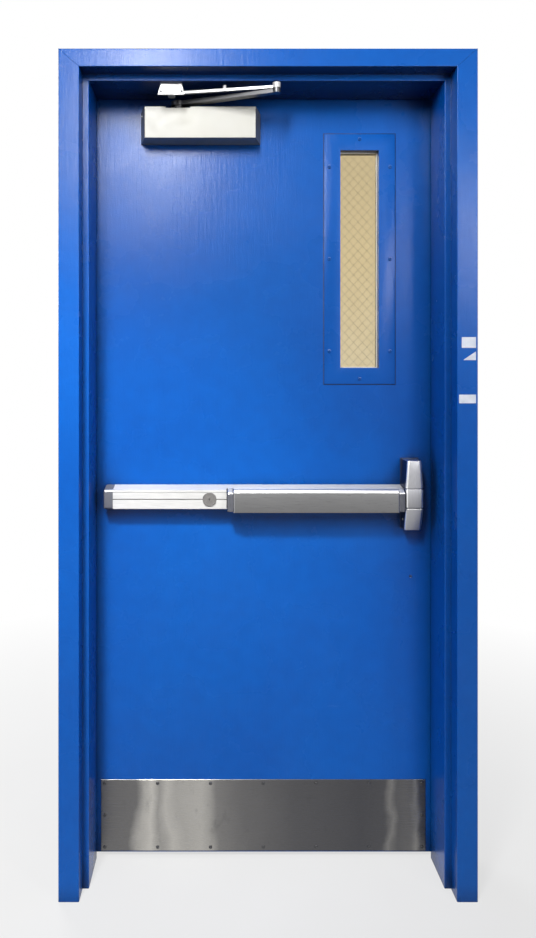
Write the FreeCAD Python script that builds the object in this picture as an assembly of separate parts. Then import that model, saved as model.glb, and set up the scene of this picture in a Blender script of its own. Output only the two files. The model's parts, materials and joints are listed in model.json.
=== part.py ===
"""Steel utility door: a hollow metal leaf in a double-rabbet steel frame, with a vision lite,
a kick plate, a touch-bar exit device and a surface closer with a parallel arm.

Working axes, in millimetres: X runs along the wall from the middle of the opening, hinges at
-X; Y runs from the push side face of the frame to the pull side; Z is the height above the floor.
Finished pieces are moved so that the origin is under the hinge jamb, on its floor anchor.
"""
import FreeCAD, Part
import math
import os

V = FreeCAD.Vector

# Frame opening and sheet profile
OPENING_WIDTH = 921.0
OPENING_HEIGHT = 2035.0
FRAME_DEPTH = 222.0
JAMB_FACE = 50.8
HEAD_FACE = 44.5
STOP_HEIGHT = 15.9
FRONT_RABBET = 49.0
DOOR_RABBET = 49.0
BACKBEND = 13.0
FRAME_SHEET = 1.6
FRAME_BEND = 2.4
MITRE_GAP = 0.3

# Gap at the seat of a piece that turns or slides, and nearness in which an edge is picked
SEAT_GAP = 0.3
PICK = 0.05

# Floor anchors
ANCHOR_END_GAP = 8.4
ANCHOR_WIDTH = 52.0
ANCHOR_RISE = 60.0
ANCHOR_SHEET = 3.0
ANCHOR_HOLE = 11.0
ANCHOR_HOLE_SPACING = 64.0

# Leaf
LEAF_THICKNESS = 44.5
HINGE_EDGE_GAP = 5.0
STRIKE_EDGE_GAP = 6.5
HEAD_GAP = 5.0
UNDERCUT = 12.0
STOP_GAP = 5.0
SKIN = 1.2
SKIN_BEND = 1.6
SEAM_GAP = 0.4
CHANNEL_SHEET = 1.6
CHANNEL_LEG = 26.0

# Rubber silencers on the strike side stop
SILENCER_DIAMETER = 13.0
SILENCER_GAP = 0.3
SILENCER_LOW = 320.0
SILENCER_DROP = 235.0

# Butt hinges
BOTTOM_HINGE_RISE = 278.0
TOP_HINGE_DROP = 240.0
HINGE_LENGTH = 114.3
HINGE_LEAF = 2.3
HINGE_LEAF_WIDTH = 38.0
KNUCKLE_DIAMETER = 14.0
KNUCKLE_COUNT = 5
KNUCKLE_GAP = 0.4
KNUCKLE_FACE_GAP = 0.5
PIN_DIAMETER = 8.0
PIN_CLEARANCE = 0.05
REINFORCEMENT_LENGTH = 230.0
REINFORCEMENT_THICKNESS = 4.8

# Vision lite
LITE_FROM_STRIKE = 198.0
LITE_TOP_DROP = 146.0
LITE_GLASS_WIDTH = 102.0
LITE_GLASS_HEIGHT = 580.0
LITE_BORDER = 44.0
LITE_FLANGE = 3.0
LITE_BEVEL = 2.0
LITE_LEG = 1.6
GLASS_THICKNESS = 6.4
GLASS_COVER = 14.0
GLASS_EDGE_GAP = 3.0

# Kick plate
KICK_WIDTH = 866.0
KICK_HEIGHT = 190.0
KICK_EDGE_GAP = 3.0
KICK_THICKNESS = 1.3
KICK_BEVEL = 0.6

# Exit device: rail, touch pad and case
DEVICE_HEIGHT = 959.5
RAIL_FROM_HINGE = 59.0
RAIL_BASE_HEIGHT = 66.0
RAIL_FRONT_HEIGHT = 49.0
RAIL_PROJECTION = 45.0
RAIL_WALL = 2.5
RAIL_LIP = 28.0
RAIL_GROOVE = 3.2
UPPER_GROOVE = 1.6
UPPER_GROOVE_RISE = 17.7
END_CAP_LENGTH = 24.5
END_CAP_CHAMFER = 6.0
PAD_LENGTH = 428.0
PAD_PROJECTION = 68.0
PAD_FACE_RISE = 28.5
PAD_FACE_DROP = 31.0
PAD_TOP_BEVEL = 6.0
PAD_HEIGHT = 65.0
PAD_WALL = 3.0
PAD_TRAVEL = 15.0
PAD_LIP_GAP = 7.0
PAD_STOP_GAP = 3.0
PAD_END_GAP = 2.0
PAD_CAP_LENGTH = 16.0
PAD_CAP_RECESS = 2.0
PAD_CAP_RISE = 18.5
PAD_CAP_DROP = 29.5
PAD_CAP_BEVEL = 4.0
CASE_FROM_STRIKE = 43.0
CASE_WIDTH = 46.5
CASE_TOP_WIDTH = 37.5
CASE_BOTTOM_WIDTH = 45.0
CASE_RISE = 102.5
CASE_BAND_RISE = 29.5
CASE_BAND_DROP = 20.5
CASE_DROP = 81.5
CASE_BEVEL = 6.5
CASE_PROJECTION = 63.0
CASE_TOP_PROJECTION = 60.0
CASE_BOTTOM_PROJECTION = 42.0
CASE_SEAM = 2.4
CASE_SEAM_DEPTH = 2.0
CASE_BASE = 3.0
CASE_BASE_MARGIN = 2.0
PLUG_FROM_PAD = 62.5
PLUG_DIAMETER = 36.0
PLUG_PROUD = 3.0
PLUG_BEVEL = 1.5
PLUG_DEPTH = 7.5
PLUG_SEAT_GAP = 0.2

# Closer
CLOSER_FROM_HINGE = 287.5
CLOSER_DROP = 49.0
CLOSER_BASE_LENGTH = 318.0
CLOSER_FRONT_LENGTH = 288.0
CLOSER_HEIGHT = 82.0
CLOSER_PROJECTION = 60.0
CLOSER_WALL = 2.0
CLOSER_ROUND = 1.8
CLOSER_NOTCH_WIDTH = 64.0
CLOSER_NOTCH_DROP = 4.0
CLOSER_BODY_LENGTH = 236.0
CLOSER_BODY_HEIGHT = 56.0
CLOSER_BARREL = 50.0
CLOSER_BARREL_OFFSET = 30.0
CLOSER_WEB = 25.0
CLOSER_TOWER = 26.0
CLOSER_FOOT = 6.0
CLOSER_FOOT_OVERHANG = 28.0

# Closer arms, seen in plan
PINION_SHIFT = 58.0
PINION_OFFSET = 43.0
ELBOW_REACH = 250.0
ELBOW_OUT = 94.0
SHOE_SHIFT = 14.0
SHOE_OUT = 49.0
SPINDLE_DIAMETER = 16.0
SPINDLE_DEPTH = 30.0
SPINDLE_COLLAR = 25.0
SPINDLE_NUT = 22.0
SPINDLE_NUT_HEIGHT = 5.0
RUN_CLEARANCE = 0.05
ARM_THICKNESS = 10.0
ARM_LIFT = 5.0
ARM_LAYER_GAP = 2.0
MAIN_ARM_HUB = 38.0
MAIN_ARM_ROOT = 26.0
MAIN_ARM_END = 14.0
FOREARM_WIDTH = 8.0
FOREARM_THICKNESS = 6.5
FOREARM_EYE = 24.0
ELBOW_BOSS = 20.0
ELBOW_TOP = 3.0
PIVOT_DIAMETER = 12.0
PIVOT_HEAD = 18.0
PIVOT_HEAD_HEIGHT = 5.0
ADJUSTER_REACH = 135.0
ADJUSTER_DIAMETER = 9.0
ADJUSTER_HEIGHT = 8.5

# Closer shoe under the head
SHOE_FRONT = 23.0
SHOE_HEIGHT = 28.0
SHOE_TOP_WIDTH = 52.0
SHOE_BOTTOM_WIDTH = 67.0
SHOE_WALL = 7.0
SHOE_PLATE = 9.0
SHOE_BACK_MARGIN = 18.0

# Planes and edges that several pieces share
HALF = OPENING_WIDTH / 2
SOFFIT_Z = OPENING_HEIGHT - STOP_HEIGHT
STOP_BACK = FRAME_DEPTH - DOOR_RABBET
PUSH_FACE = STOP_BACK + STOP_GAP
PULL_FACE = PUSH_FACE + LEAF_THICKNESS
LEAF_LEFT = HINGE_EDGE_GAP - HALF
LEAF_RIGHT = HALF - STRIKE_EDGE_GAP
LEAF_TOP = OPENING_HEIGHT - HEAD_GAP
LEAF_BOTTOM = UNDERCUT
HINGE_AXIS_X = LEAF_LEFT - HINGE_EDGE_GAP / 2
HINGE_AXIS_Y = PULL_FACE + KNUCKLE_FACE_GAP + KNUCKLE_DIAMETER / 2
BOTTOM_HINGE = LEAF_BOTTOM + BOTTOM_HINGE_RISE
TOP_HINGE = LEAF_TOP - TOP_HINGE_DROP
HINGE_HEIGHTS = (BOTTOM_HINGE, (BOTTOM_HINGE + TOP_HINGE) / 2, TOP_HINGE)
SILENCER_TOP = OPENING_HEIGHT - SILENCER_DROP
SILENCER_HEIGHTS = (SILENCER_LOW, (SILENCER_LOW + SILENCER_TOP) / 2, SILENCER_TOP)
LITE_CENTRE_X = LEAF_RIGHT - LITE_FROM_STRIKE
LITE_BOTTOM = LEAF_TOP - LITE_TOP_DROP - LITE_GLASS_HEIGHT
RAIL_LEFT = LEAF_LEFT + RAIL_FROM_HINGE
RAIL_SLOPE = (RAIL_BASE_HEIGHT - RAIL_FRONT_HEIGHT) / 2 / RAIL_PROJECTION
CASE_RIGHT = LEAF_RIGHT - CASE_FROM_STRIKE
CASE_LEFT = CASE_RIGHT - CASE_WIDTH
CASE_TOP = DEVICE_HEIGHT + CASE_RISE
CASE_BAND_TOP = DEVICE_HEIGHT + CASE_BAND_RISE
CASE_BAND_BOTTOM = DEVICE_HEIGHT - CASE_BAND_DROP
CASE_BOTTOM = DEVICE_HEIGHT - CASE_DROP
PAD_RIGHT = CASE_LEFT - PAD_END_GAP - PAD_CAP_LENGTH
PAD_LEFT = PAD_RIGHT - PAD_LENGTH
PAD_ROOM_LEFT = PAD_LEFT - PAD_CAP_LENGTH - PAD_END_GAP
PAD_NECK = RAIL_LIP + PAD_TRAVEL + PAD_LIP_GAP
TONGUE = RAIL_BASE_HEIGHT / 2 - RAIL_WALL - RAIL_SLOPE * RAIL_LIP - SEAT_GAP
PLUG_X = PAD_LEFT - PLUG_FROM_PAD
CLOSER_CENTRE_X = LEAF_LEFT + CLOSER_FROM_HINGE
CLOSER_TOP = LEAF_TOP - CLOSER_DROP
CLOSER_BOTTOM = CLOSER_TOP - CLOSER_HEIGHT
PINION_X = CLOSER_CENTRE_X - PINION_SHIFT
PINION_Y = PUSH_FACE - PINION_OFFSET
ELBOW_X = PINION_X + ELBOW_REACH
ELBOW_Y = PINION_Y - ELBOW_OUT
SHOE_PIVOT_X = PINION_X - SHOE_SHIFT
SHOE_PIVOT_Y = PINION_Y - SHOE_OUT
SHOE_FRONT_Y = SHOE_PIVOT_Y - SHOE_FRONT
MAIN_ARM_Z = CLOSER_TOP + ARM_LIFT
FOREARM_Z = MAIN_ARM_Z + ARM_THICKNESS + ARM_LAYER_GAP
STOP_MIDDLE = (FRONT_RABBET + STOP_BACK) / 2
ANCHOR_LENGTH = STOP_BACK - FRONT_RABBET - (FRAME_SHEET + ANCHOR_END_GAP) * 2
ANCHOR_X = HALF - STOP_HEIGHT + FRAME_SHEET + ANCHOR_WIDTH / 2
ORIGIN = V(-ANCHOR_X, STOP_MIDDLE, 0)


def save(name, shape):
    """Write one node, moved to the part's own origin."""
    moved = shape.copy()
    moved.translate(-ORIGIN)
    moved.exportStep(f"parts/{name}.step")


def block(x0, x1, y0, y1, z0, z1):
    return Part.makeBox(x1 - x0, y1 - y0, z1 - z0, V(x0, y0, z0))


def post(x, y, z0, z1, diameter):
    """Upright cylinder."""
    return Part.makeCylinder(diameter / 2, z1 - z0, V(x, y, z0))


def prism(points, direction):
    """Solid swept from a closed outline."""
    outline = Part.makePolygon(points + points[:1])
    return Part.Face(outline).extrude(direction)


def hexagon(x, y, z, across):
    """Corners of a level hexagon, measured across its corners."""
    turns = [math.pi / 3 * corner for corner in range(6)]
    return [V(x + across / 2 * math.cos(turn), y + across / 2 * math.sin(turn), z) for turn in turns]


def edges_through(shape, points, direction):
    """Straight edges that run in a direction through any of these points."""
    chosen = []
    for edge in shape.Edges:
        line = edge.Vertexes[-1].Point - edge.Vertexes[0].Point
        if line.cross(direction).Length > PICK or line.Length < PICK:
            continue
        offsets = [edge.CenterOfMass - point for point in points]
        if min((offset.cross(direction)).Length for offset in offsets) < PICK:
            chosen.append(edge)
    return chosen


def edges_in_plane(shape, point, normal):
    """Edges whose middle lies in a plane."""
    return [edge for edge in shape.Edges if abs((edge.CenterOfMass - point).dot(normal)) < PICK]


def sheet_outline(surface, thickness):
    """Closed outline of a bent sheet, from the corners of its outer surface."""
    runs = []
    for (u0, v0), (u1, v1) in zip(surface, surface[1:]):
        length = math.hypot(u1 - u0, v1 - v0)
        runs.append(((u1 - u0) / length, (v1 - v0) / length))
    back = []
    for i, (u, v) in enumerate(surface):
        before = runs[max(i - 1, 0)]
        after = runs[min(i, len(runs) - 1)]
        shift_u = before[1] if before == after else before[1] + after[1]
        shift_v = -before[0] if before == after else -before[0] - after[0]
        back.append((u + thickness * shift_u, v + thickness * shift_v))
    return surface + back[::-1]


def frame_surface(face):
    """Outer surface of the frame section: distance into the wall, then depth."""
    return [
        (face, BACKBEND),
        (face, 0),
        (0, 0),
        (0, FRONT_RABBET),
        (-STOP_HEIGHT, FRONT_RABBET),
        (-STOP_HEIGHT, STOP_BACK),
        (0, STOP_BACK),
        (0, FRAME_DEPTH),
        (face, FRAME_DEPTH),
        (face, FRAME_DEPTH - BACKBEND),
    ]


def bent(section, place, run):
    """Sheet swept from its section, with the outward bends rounded."""
    sheet = prism([place(u, v) for u, v in sheet_outline(section, FRAME_SHEET)], run)
    turns = zip(section, section[1:], section[2:])
    outward = [place(*b) for a, b, c in turns
               if (b[0] - a[0]) * (c[1] - b[1]) < (b[1] - a[1]) * (c[0] - b[0])]
    along = V(run)
    return sheet.makeFillet(FRAME_BEND, edges_through(sheet, outward, along.normalize()))


def corner_region(side):
    """Everything on the jamb's side of the mitre."""
    inner = STOP_HEIGHT * 2
    far = JAMB_FACE * 2
    points = [
        (HALF - inner, OPENING_HEIGHT - inner),
        (HALF, OPENING_HEIGHT),
        (HALF + JAMB_FACE, OPENING_HEIGHT + HEAD_FACE),
        (HALF + far, OPENING_HEIGHT + HEAD_FACE),
        (HALF + far, -inner),
        (HALF - inner, -inner),
    ]
    outline = [V(side * x, -inner, z) for x, z in points]
    return prism(outline, V(0, FRAME_DEPTH + inner * 2, 0))


def jamb(side):
    height = OPENING_HEIGHT + HEAD_FACE
    sheet = bent(frame_surface(JAMB_FACE), lambda u, v: V(side * (HALF + u), v, 0), V(0, 0, height))
    return sheet.common(corner_region(side))


def head():
    reach = HALF + JAMB_FACE
    sheet = bent(frame_surface(HEAD_FACE), lambda u, v: V(-reach, v, OPENING_HEIGHT + u), V(reach * 2, 0, 0))
    for side in (-1, 1):
        region = corner_region(side)
        region.translate(V(-side * MITRE_GAP, 0, MITRE_GAP))
        sheet = sheet.cut(region)
    return sheet


def floor_anchor(side):
    """Angle clip inside the jamb's foot, with two holes for floor bolts."""
    inner = HALF - STOP_HEIGHT + FRAME_SHEET
    y0 = STOP_MIDDLE - ANCHOR_LENGTH / 2
    y1 = y0 + ANCHOR_LENGTH
    foot = block(inner, inner + ANCHOR_WIDTH, y0, y1, 0, ANCHOR_SHEET)
    leg = block(inner, inner + ANCHOR_SHEET, y0, y1, 0, ANCHOR_RISE)
    clip = foot.fuse(leg).removeSplitter()
    for step in (-0.5, 0.5):
        y = STOP_MIDDLE + step * ANCHOR_HOLE_SPACING
        clip = clip.cut(post(ANCHOR_X, y, -ANCHOR_SHEET, ANCHOR_SHEET * 2, ANCHOR_HOLE))
    if side < 0:
        clip = clip.mirror(V(0, 0, 0), V(1, 0, 0))
    return clip


def silencers():
    x = HALF - STOP_HEIGHT / 2
    pads = []
    for z in SILENCER_HEIGHTS:
        size = STOP_GAP - SILENCER_GAP
        pads.append(Part.makeCylinder(SILENCER_DIAMETER / 2, size, V(x, STOP_BACK, z), V(0, 1, 0)))
    return Part.makeCompound(pads)


def hinge_reinforcements():
    x1 = -HALF - FRAME_SHEET
    y0 = STOP_BACK + FRAME_SHEET * 2
    y1 = FRAME_DEPTH - FRAME_SHEET * 2
    plates = []
    for z in HINGE_HEIGHTS:
        z0 = z - REINFORCEMENT_LENGTH / 2
        plates.append(block(x1 - REINFORCEMENT_THICKNESS, x1, y0, y1, z0, z0 + REINFORCEMENT_LENGTH))
    return Part.makeCompound(plates)


def knuckle(z, number):
    """One barrel of a hinge, counted from the bottom."""
    step = HINGE_LENGTH / KNUCKLE_COUNT
    z0 = z - HINGE_LENGTH / 2 + step * number
    barrel = post(HINGE_AXIS_X, HINGE_AXIS_Y, z0 + KNUCKLE_GAP / 2, z0 + step - KNUCKLE_GAP / 2,
                  KNUCKLE_DIAMETER)
    return barrel


def hinge_leaf(z, on_frame):
    """Plate in the gap at the hinge edge, with every other barrel. The frame's leaf holds the pin."""
    x0 = -HALF if on_frame else LEAF_LEFT - HINGE_LEAF
    z0 = z - HINGE_LENGTH / 2
    step = HINGE_LENGTH / KNUCKLE_COUNT
    leaf = block(x0, x0 + HINGE_LEAF, PULL_FACE - HINGE_LEAF_WIDTH, HINGE_AXIS_Y, z0, z0 + HINGE_LENGTH)
    for number in range(KNUCKLE_COUNT):
        if (number % 2 == 0) == on_frame:
            leaf = leaf.fuse(knuckle(z, number))
        else:
            gap_z = z0 + step * number
            room = KNUCKLE_DIAMETER + KNUCKLE_FACE_GAP * 2
            leaf = leaf.cut(post(HINGE_AXIS_X, HINGE_AXIS_Y, gap_z - KNUCKLE_GAP / 2,
                                 gap_z + step + KNUCKLE_GAP / 2, room))
    if on_frame:
        pin = post(HINGE_AXIS_X, HINGE_AXIS_Y, z0, z0 + HINGE_LENGTH, PIN_DIAMETER)
        return leaf.fuse(pin).removeSplitter()
    bore = PIN_DIAMETER + PIN_CLEARANCE * 2
    return leaf.cut(post(HINGE_AXIS_X, HINGE_AXIS_Y, z0, z0 + HINGE_LENGTH, bore)).removeSplitter()


def lite_opening(grow, y0, y1):
    """Block of the lite's visible opening, larger by a margin all round."""
    half = LITE_GLASS_WIDTH / 2 + grow
    return block(LITE_CENTRE_X - half, LITE_CENTRE_X + half, y0, y1,
                 LITE_BOTTOM - grow, LITE_BOTTOM + LITE_GLASS_HEIGHT + grow)


def leaf_skin(push_side):
    """One pan of the leaf: a face sheet with its two long edges turned in to the seam."""
    middle = (PUSH_FACE + PULL_FACE) / 2
    y0 = PUSH_FACE if push_side else middle + SEAM_GAP / 2
    y1 = middle - SEAM_GAP / 2 if push_side else PULL_FACE
    outer = block(LEAF_LEFT, LEAF_RIGHT, y0, y1, LEAF_BOTTOM, LEAF_TOP)
    face_y = PUSH_FACE if push_side else PULL_FACE
    corners = [V(LEAF_LEFT, face_y, 0), V(LEAF_RIGHT, face_y, 0)]
    outer = outer.makeFillet(SKIN_BEND, edges_through(outer, corners, V(0, 0, 1)))
    inner_y0 = y0 + SKIN if push_side else y0 - SKIN
    inner_y1 = y1 + SKIN if push_side else y1 - SKIN
    inner = block(LEAF_LEFT + SKIN, LEAF_RIGHT - SKIN, inner_y0, inner_y1,
                  LEAF_BOTTOM - SKIN, LEAF_TOP + SKIN)
    pan = outer.cut(inner)
    return pan.cut(lite_opening(GLASS_COVER + GLASS_EDGE_GAP, y0 - SKIN, y1 + SKIN))


def end_channel(top):
    """Channel closing one end of the leaf, its web set in from the edge."""
    x0 = LEAF_LEFT + SKIN
    x1 = LEAF_RIGHT - SKIN
    y0 = PUSH_FACE + SKIN
    y1 = PULL_FACE - SKIN
    z0 = LEAF_TOP - CHANNEL_LEG if top else LEAF_BOTTOM
    channel = block(x0, x1, y0, y1, z0, z0 + CHANNEL_LEG)
    trough_z = z0 + CHANNEL_SHEET if top else z0 - CHANNEL_SHEET
    trough = block(x0 - SKIN, x1 + SKIN, y0 + CHANNEL_SHEET, y1 - CHANNEL_SHEET, trough_z,
                   trough_z + CHANNEL_LEG)
    return channel.cut(trough)


def lite_frame(push_side):
    """Screwed half of the lite kit: a bevelled flange on the face and a leg down to the glass."""
    middle = (PUSH_FACE + PULL_FACE) / 2
    face = PUSH_FACE if push_side else PULL_FACE
    out = -1 if push_side else 1
    front = face + out * LITE_FLANGE
    glass = middle + out * GLASS_THICKNESS / 2
    flange = lite_opening(LITE_BORDER, min(face, front), max(face, front))
    flange = flange.makeChamfer(LITE_BEVEL, edges_in_plane(flange, V(0, front, 0), V(0, 1, 0)))
    leg = lite_opening(LITE_LEG, min(face, glass), max(face, glass))
    ring = flange.fuse(leg).cut(lite_opening(0, PUSH_FACE - LITE_FLANGE * 2, PULL_FACE + LITE_FLANGE * 2))
    return ring.removeSplitter()


def lite_glass():
    middle = (PUSH_FACE + PULL_FACE) / 2
    return lite_opening(GLASS_COVER, middle - GLASS_THICKNESS / 2, middle + GLASS_THICKNESS / 2)


def kick_plate():
    x0 = (LEAF_LEFT + LEAF_RIGHT - KICK_WIDTH) / 2
    z0 = LEAF_BOTTOM + KICK_EDGE_GAP
    front = PUSH_FACE - KICK_THICKNESS
    plate = block(x0, x0 + KICK_WIDTH, front, PUSH_FACE, z0, z0 + KICK_HEIGHT)
    return plate.makeChamfer(KICK_BEVEL, edges_in_plane(plate, V(0, front, 0), V(0, 1, 0)))


def rail_section(x, projection, inset):
    """Outline across the rail: wide at the door and narrower in front."""
    base = RAIL_BASE_HEIGHT / 2 - inset
    tip = base - RAIL_SLOPE * projection
    back = PUSH_FACE
    front = PUSH_FACE - projection
    return [V(x, back, DEVICE_HEIGHT - base), V(x, front, DEVICE_HEIGHT - tip),
            V(x, front, DEVICE_HEIGHT + tip), V(x, back, DEVICE_HEIGHT + base)]


def exit_rail():
    """Extruded channel: closed in front at the left, open in front where the touch pad works."""
    length = CASE_LEFT - RAIL_LEFT
    rail = prism(rail_section(RAIL_LEFT, RAIL_PROJECTION, 0), V(length, 0, 0))
    hollow = prism(rail_section(RAIL_LEFT, RAIL_PROJECTION - RAIL_WALL, RAIL_WALL), V(length, 0, 0))
    rail = rail.cut(hollow)
    pad_room = block(PAD_ROOM_LEFT, CASE_LEFT, PUSH_FACE - RAIL_PROJECTION * 2, PUSH_FACE - RAIL_LIP,
                     DEVICE_HEIGHT - RAIL_BASE_HEIGHT, DEVICE_HEIGHT + RAIL_BASE_HEIGHT)
    rail = rail.cut(pad_room)
    front = PUSH_FACE - RAIL_PROJECTION
    for z, size in ((DEVICE_HEIGHT, RAIL_GROOVE), (DEVICE_HEIGHT + UPPER_GROOVE_RISE, UPPER_GROOVE)):
        groove = prism([V(RAIL_LEFT, front, z - size / 2), V(RAIL_LEFT, front + size / 2, z),
                        V(RAIL_LEFT, front, z + size / 2)], V(PAD_ROOM_LEFT - RAIL_LEFT, 0, 0))
        rail = rail.cut(groove)
    seat = Part.makeCylinder(PLUG_DIAMETER / 2 + PLUG_SEAT_GAP, PLUG_DEPTH + PLUG_PROUD,
                             V(PLUG_X, front - RAIL_WALL, DEVICE_HEIGHT), V(0, 1, 0))
    return rail.cut(seat)


def rail_end_cap():
    """Moulded cap closing the hinge end of the rail."""
    cap = prism(rail_section(RAIL_LEFT - END_CAP_LENGTH, RAIL_PROJECTION, 0), V(END_CAP_LENGTH, 0, 0))
    end = edges_in_plane(cap, V(RAIL_LEFT - END_CAP_LENGTH, 0, 0), V(1, 0, 0))
    return cap.makeChamfer(END_CAP_CHAMFER, [e for e in end if e.CenterOfMass.y < PUSH_FACE - PICK])


def dogging_plug():
    """Round key plug in the front of the rail."""
    front = V(PLUG_X, PUSH_FACE - RAIL_PROJECTION - PLUG_PROUD, DEVICE_HEIGHT)
    plug = Part.makeCylinder(PLUG_DIAMETER / 2, PLUG_DEPTH + PLUG_PROUD, front, V(0, 1, 0))
    return plug.makeChamfer(PLUG_BEVEL, edges_in_plane(plug, front, V(0, 1, 0)))


def pad_section(x, recess, rise, drop, bevel):
    """Outline across the touch pad: a head bevelled at its top edge and a tongue inside the rail."""
    face_y = PUSH_FACE - PAD_PROJECTION + recess
    neck_y = PUSH_FACE - PAD_NECK
    tail_y = PUSH_FACE - PAD_TRAVEL - PAD_STOP_GAP
    neck = (PAD_HEIGHT - recess) / 2
    outline = [(face_y, rise - bevel), (face_y + bevel, rise), (neck_y, neck), (neck_y, TONGUE),
               (tail_y, TONGUE), (tail_y, -TONGUE), (neck_y, -TONGUE), (neck_y, -neck), (face_y, -drop)]
    return [V(x, y, DEVICE_HEIGHT + z) for y, z in outline]


def push_pad():
    section = pad_section(PAD_LEFT, 0, PAD_FACE_RISE, PAD_FACE_DROP, PAD_TOP_BEVEL)
    pad = prism(section, V(PAD_LENGTH, 0, 0))
    face_y = PUSH_FACE - PAD_PROJECTION
    hollow = block(PAD_LEFT, PAD_RIGHT, face_y + PAD_WALL, PUSH_FACE,
                   DEVICE_HEIGHT - TONGUE + PAD_WALL, DEVICE_HEIGHT + TONGUE - PAD_WALL)
    return pad.cut(hollow)


def pad_cap(x0):
    """Moulded end of the touch pad, a little lower and deeper set than the pad."""
    section = pad_section(x0, PAD_CAP_RECESS, PAD_CAP_RISE, PAD_CAP_DROP, PAD_CAP_BEVEL)
    return prism(section, V(PAD_CAP_LENGTH, 0, 0))


def case_section(z, width, projection, inset):
    """Outline across the case, its two front corners cut off."""
    middle = (CASE_LEFT + CASE_RIGHT) / 2
    half = width / 2 - inset
    back = PUSH_FACE - CASE_BASE
    front = PUSH_FACE - projection + inset
    side = [(half, back), (half, front + CASE_BEVEL), (half - CASE_BEVEL, front)]
    right = [V(middle + x, y, z) for x, y in side]
    left = [V(middle - x, y, z) for x, y in reversed(side)]
    return Part.makePolygon(right + left + right[:1])


def exit_case_cover():
    """Case over the lock end of the device: a proud band, narrowing above and sloping back below it."""
    sections = [
        case_section(CASE_BOTTOM, CASE_BOTTOM_WIDTH, CASE_BOTTOM_PROJECTION, 0),
        case_section(CASE_BAND_BOTTOM, CASE_WIDTH, CASE_PROJECTION, 0),
        case_section(CASE_BAND_TOP, CASE_WIDTH, CASE_PROJECTION, 0),
        case_section(CASE_TOP, CASE_TOP_WIDTH, CASE_TOP_PROJECTION, 0),
    ]
    case = Part.makeLoft(sections, True, True)
    for z in (CASE_BAND_BOTTOM, CASE_BAND_TOP):
        z0 = z - CASE_SEAM / 2
        collar = block(CASE_LEFT - CASE_WIDTH, CASE_RIGHT + CASE_WIDTH, PUSH_FACE - CASE_PROJECTION * 2,
                       PUSH_FACE - CASE_BASE, z0, z0 + CASE_SEAM)
        core = Part.Face(case_section(z0, CASE_WIDTH, CASE_PROJECTION, CASE_SEAM_DEPTH))
        case = case.cut(collar.cut(core.extrude(V(0, 0, CASE_SEAM))))
    return case


def exit_case_base():
    return block(CASE_LEFT, CASE_RIGHT + CASE_BASE_MARGIN, PUSH_FACE - CASE_BASE, PUSH_FACE,
                 CASE_BOTTOM - CASE_BASE_MARGIN, CASE_TOP + CASE_BASE_MARGIN)


def closer_block(inset):
    """Block with sloping ends on the door, smaller by a margin on every side but the door's."""
    front = PUSH_FACE - CLOSER_PROJECTION + inset
    near = CLOSER_FRONT_LENGTH / 2 - inset
    far = CLOSER_BASE_LENGTH / 2 - inset
    z0 = CLOSER_BOTTOM + inset
    points = [V(CLOSER_CENTRE_X - near, front, z0), V(CLOSER_CENTRE_X + near, front, z0),
              V(CLOSER_CENTRE_X + far, PUSH_FACE, z0), V(CLOSER_CENTRE_X - far, PUSH_FACE, z0)]
    return prism(points, V(0, 0, CLOSER_HEIGHT - inset * 2))


def closer_cover():
    """Shell with sloping ends, open at the door, notched at the top for the arm's hub."""
    front = PUSH_FACE - CLOSER_PROJECTION
    outer = closer_block(0)
    outer = outer.makeFillet(CLOSER_ROUND, edges_in_plane(outer, V(0, front, 0), V(0, 1, 0)))
    inner = closer_block(CLOSER_WALL)
    notch = block(PINION_X - CLOSER_NOTCH_WIDTH / 2, PINION_X + CLOSER_NOTCH_WIDTH / 2,
                  front - CLOSER_WALL, PUSH_FACE + CLOSER_WALL, CLOSER_TOP - CLOSER_NOTCH_DROP,
                  CLOSER_TOP + CLOSER_WALL)
    return outer.cut(inner).cut(notch)


def closer_body():
    """Cast body inside the cover: a piston barrel on feet, with a tower for the spindle."""
    length = CLOSER_BODY_LENGTH
    x0 = CLOSER_CENTRE_X - length / 2
    x1 = x0 + length
    axis_y = PUSH_FACE - CLOSER_BARREL_OFFSET
    axis_z = (CLOSER_BOTTOM + CLOSER_TOP) / 2 - CLOSER_WALL
    barrel = Part.makeCylinder(CLOSER_BARREL / 2, length, V(x0, axis_y, axis_z), V(1, 0, 0))
    web = block(x0, x1, axis_y, PUSH_FACE, axis_z - CLOSER_WEB / 2, axis_z + CLOSER_WEB / 2)
    foot = block(x0 - CLOSER_FOOT_OVERHANG, x1 + CLOSER_FOOT_OVERHANG, PUSH_FACE - CLOSER_FOOT, PUSH_FACE,
                 axis_z - CLOSER_BODY_HEIGHT / 2, axis_z + CLOSER_BODY_HEIGHT / 2)
    tower = post(PINION_X, PINION_Y, axis_z, CLOSER_TOP - CLOSER_NOTCH_DROP, CLOSER_TOWER)
    body = barrel.fuse([web, foot, tower]).removeSplitter()
    bore = SPINDLE_DIAMETER + RUN_CLEARANCE * 2
    return body.cut(post(PINION_X, PINION_Y, CLOSER_TOP - SPINDLE_DEPTH, CLOSER_TOP, bore))


def closer_spindle():
    """Pinion shaft, its collar under the arm and the nut that holds the arm down."""
    top = MAIN_ARM_Z + ARM_THICKNESS
    shaft = post(PINION_X, PINION_Y, CLOSER_TOP - SPINDLE_DEPTH, top, SPINDLE_DIAMETER)
    collar = post(PINION_X, PINION_Y, CLOSER_TOP - CLOSER_NOTCH_DROP + SEAT_GAP, MAIN_ARM_Z, SPINDLE_COLLAR)
    nut = prism(hexagon(PINION_X, PINION_Y, top, SPINDLE_NUT), V(0, 0, SPINDLE_NUT_HEIGHT))
    return shaft.fuse([collar, nut]).removeSplitter()


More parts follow.
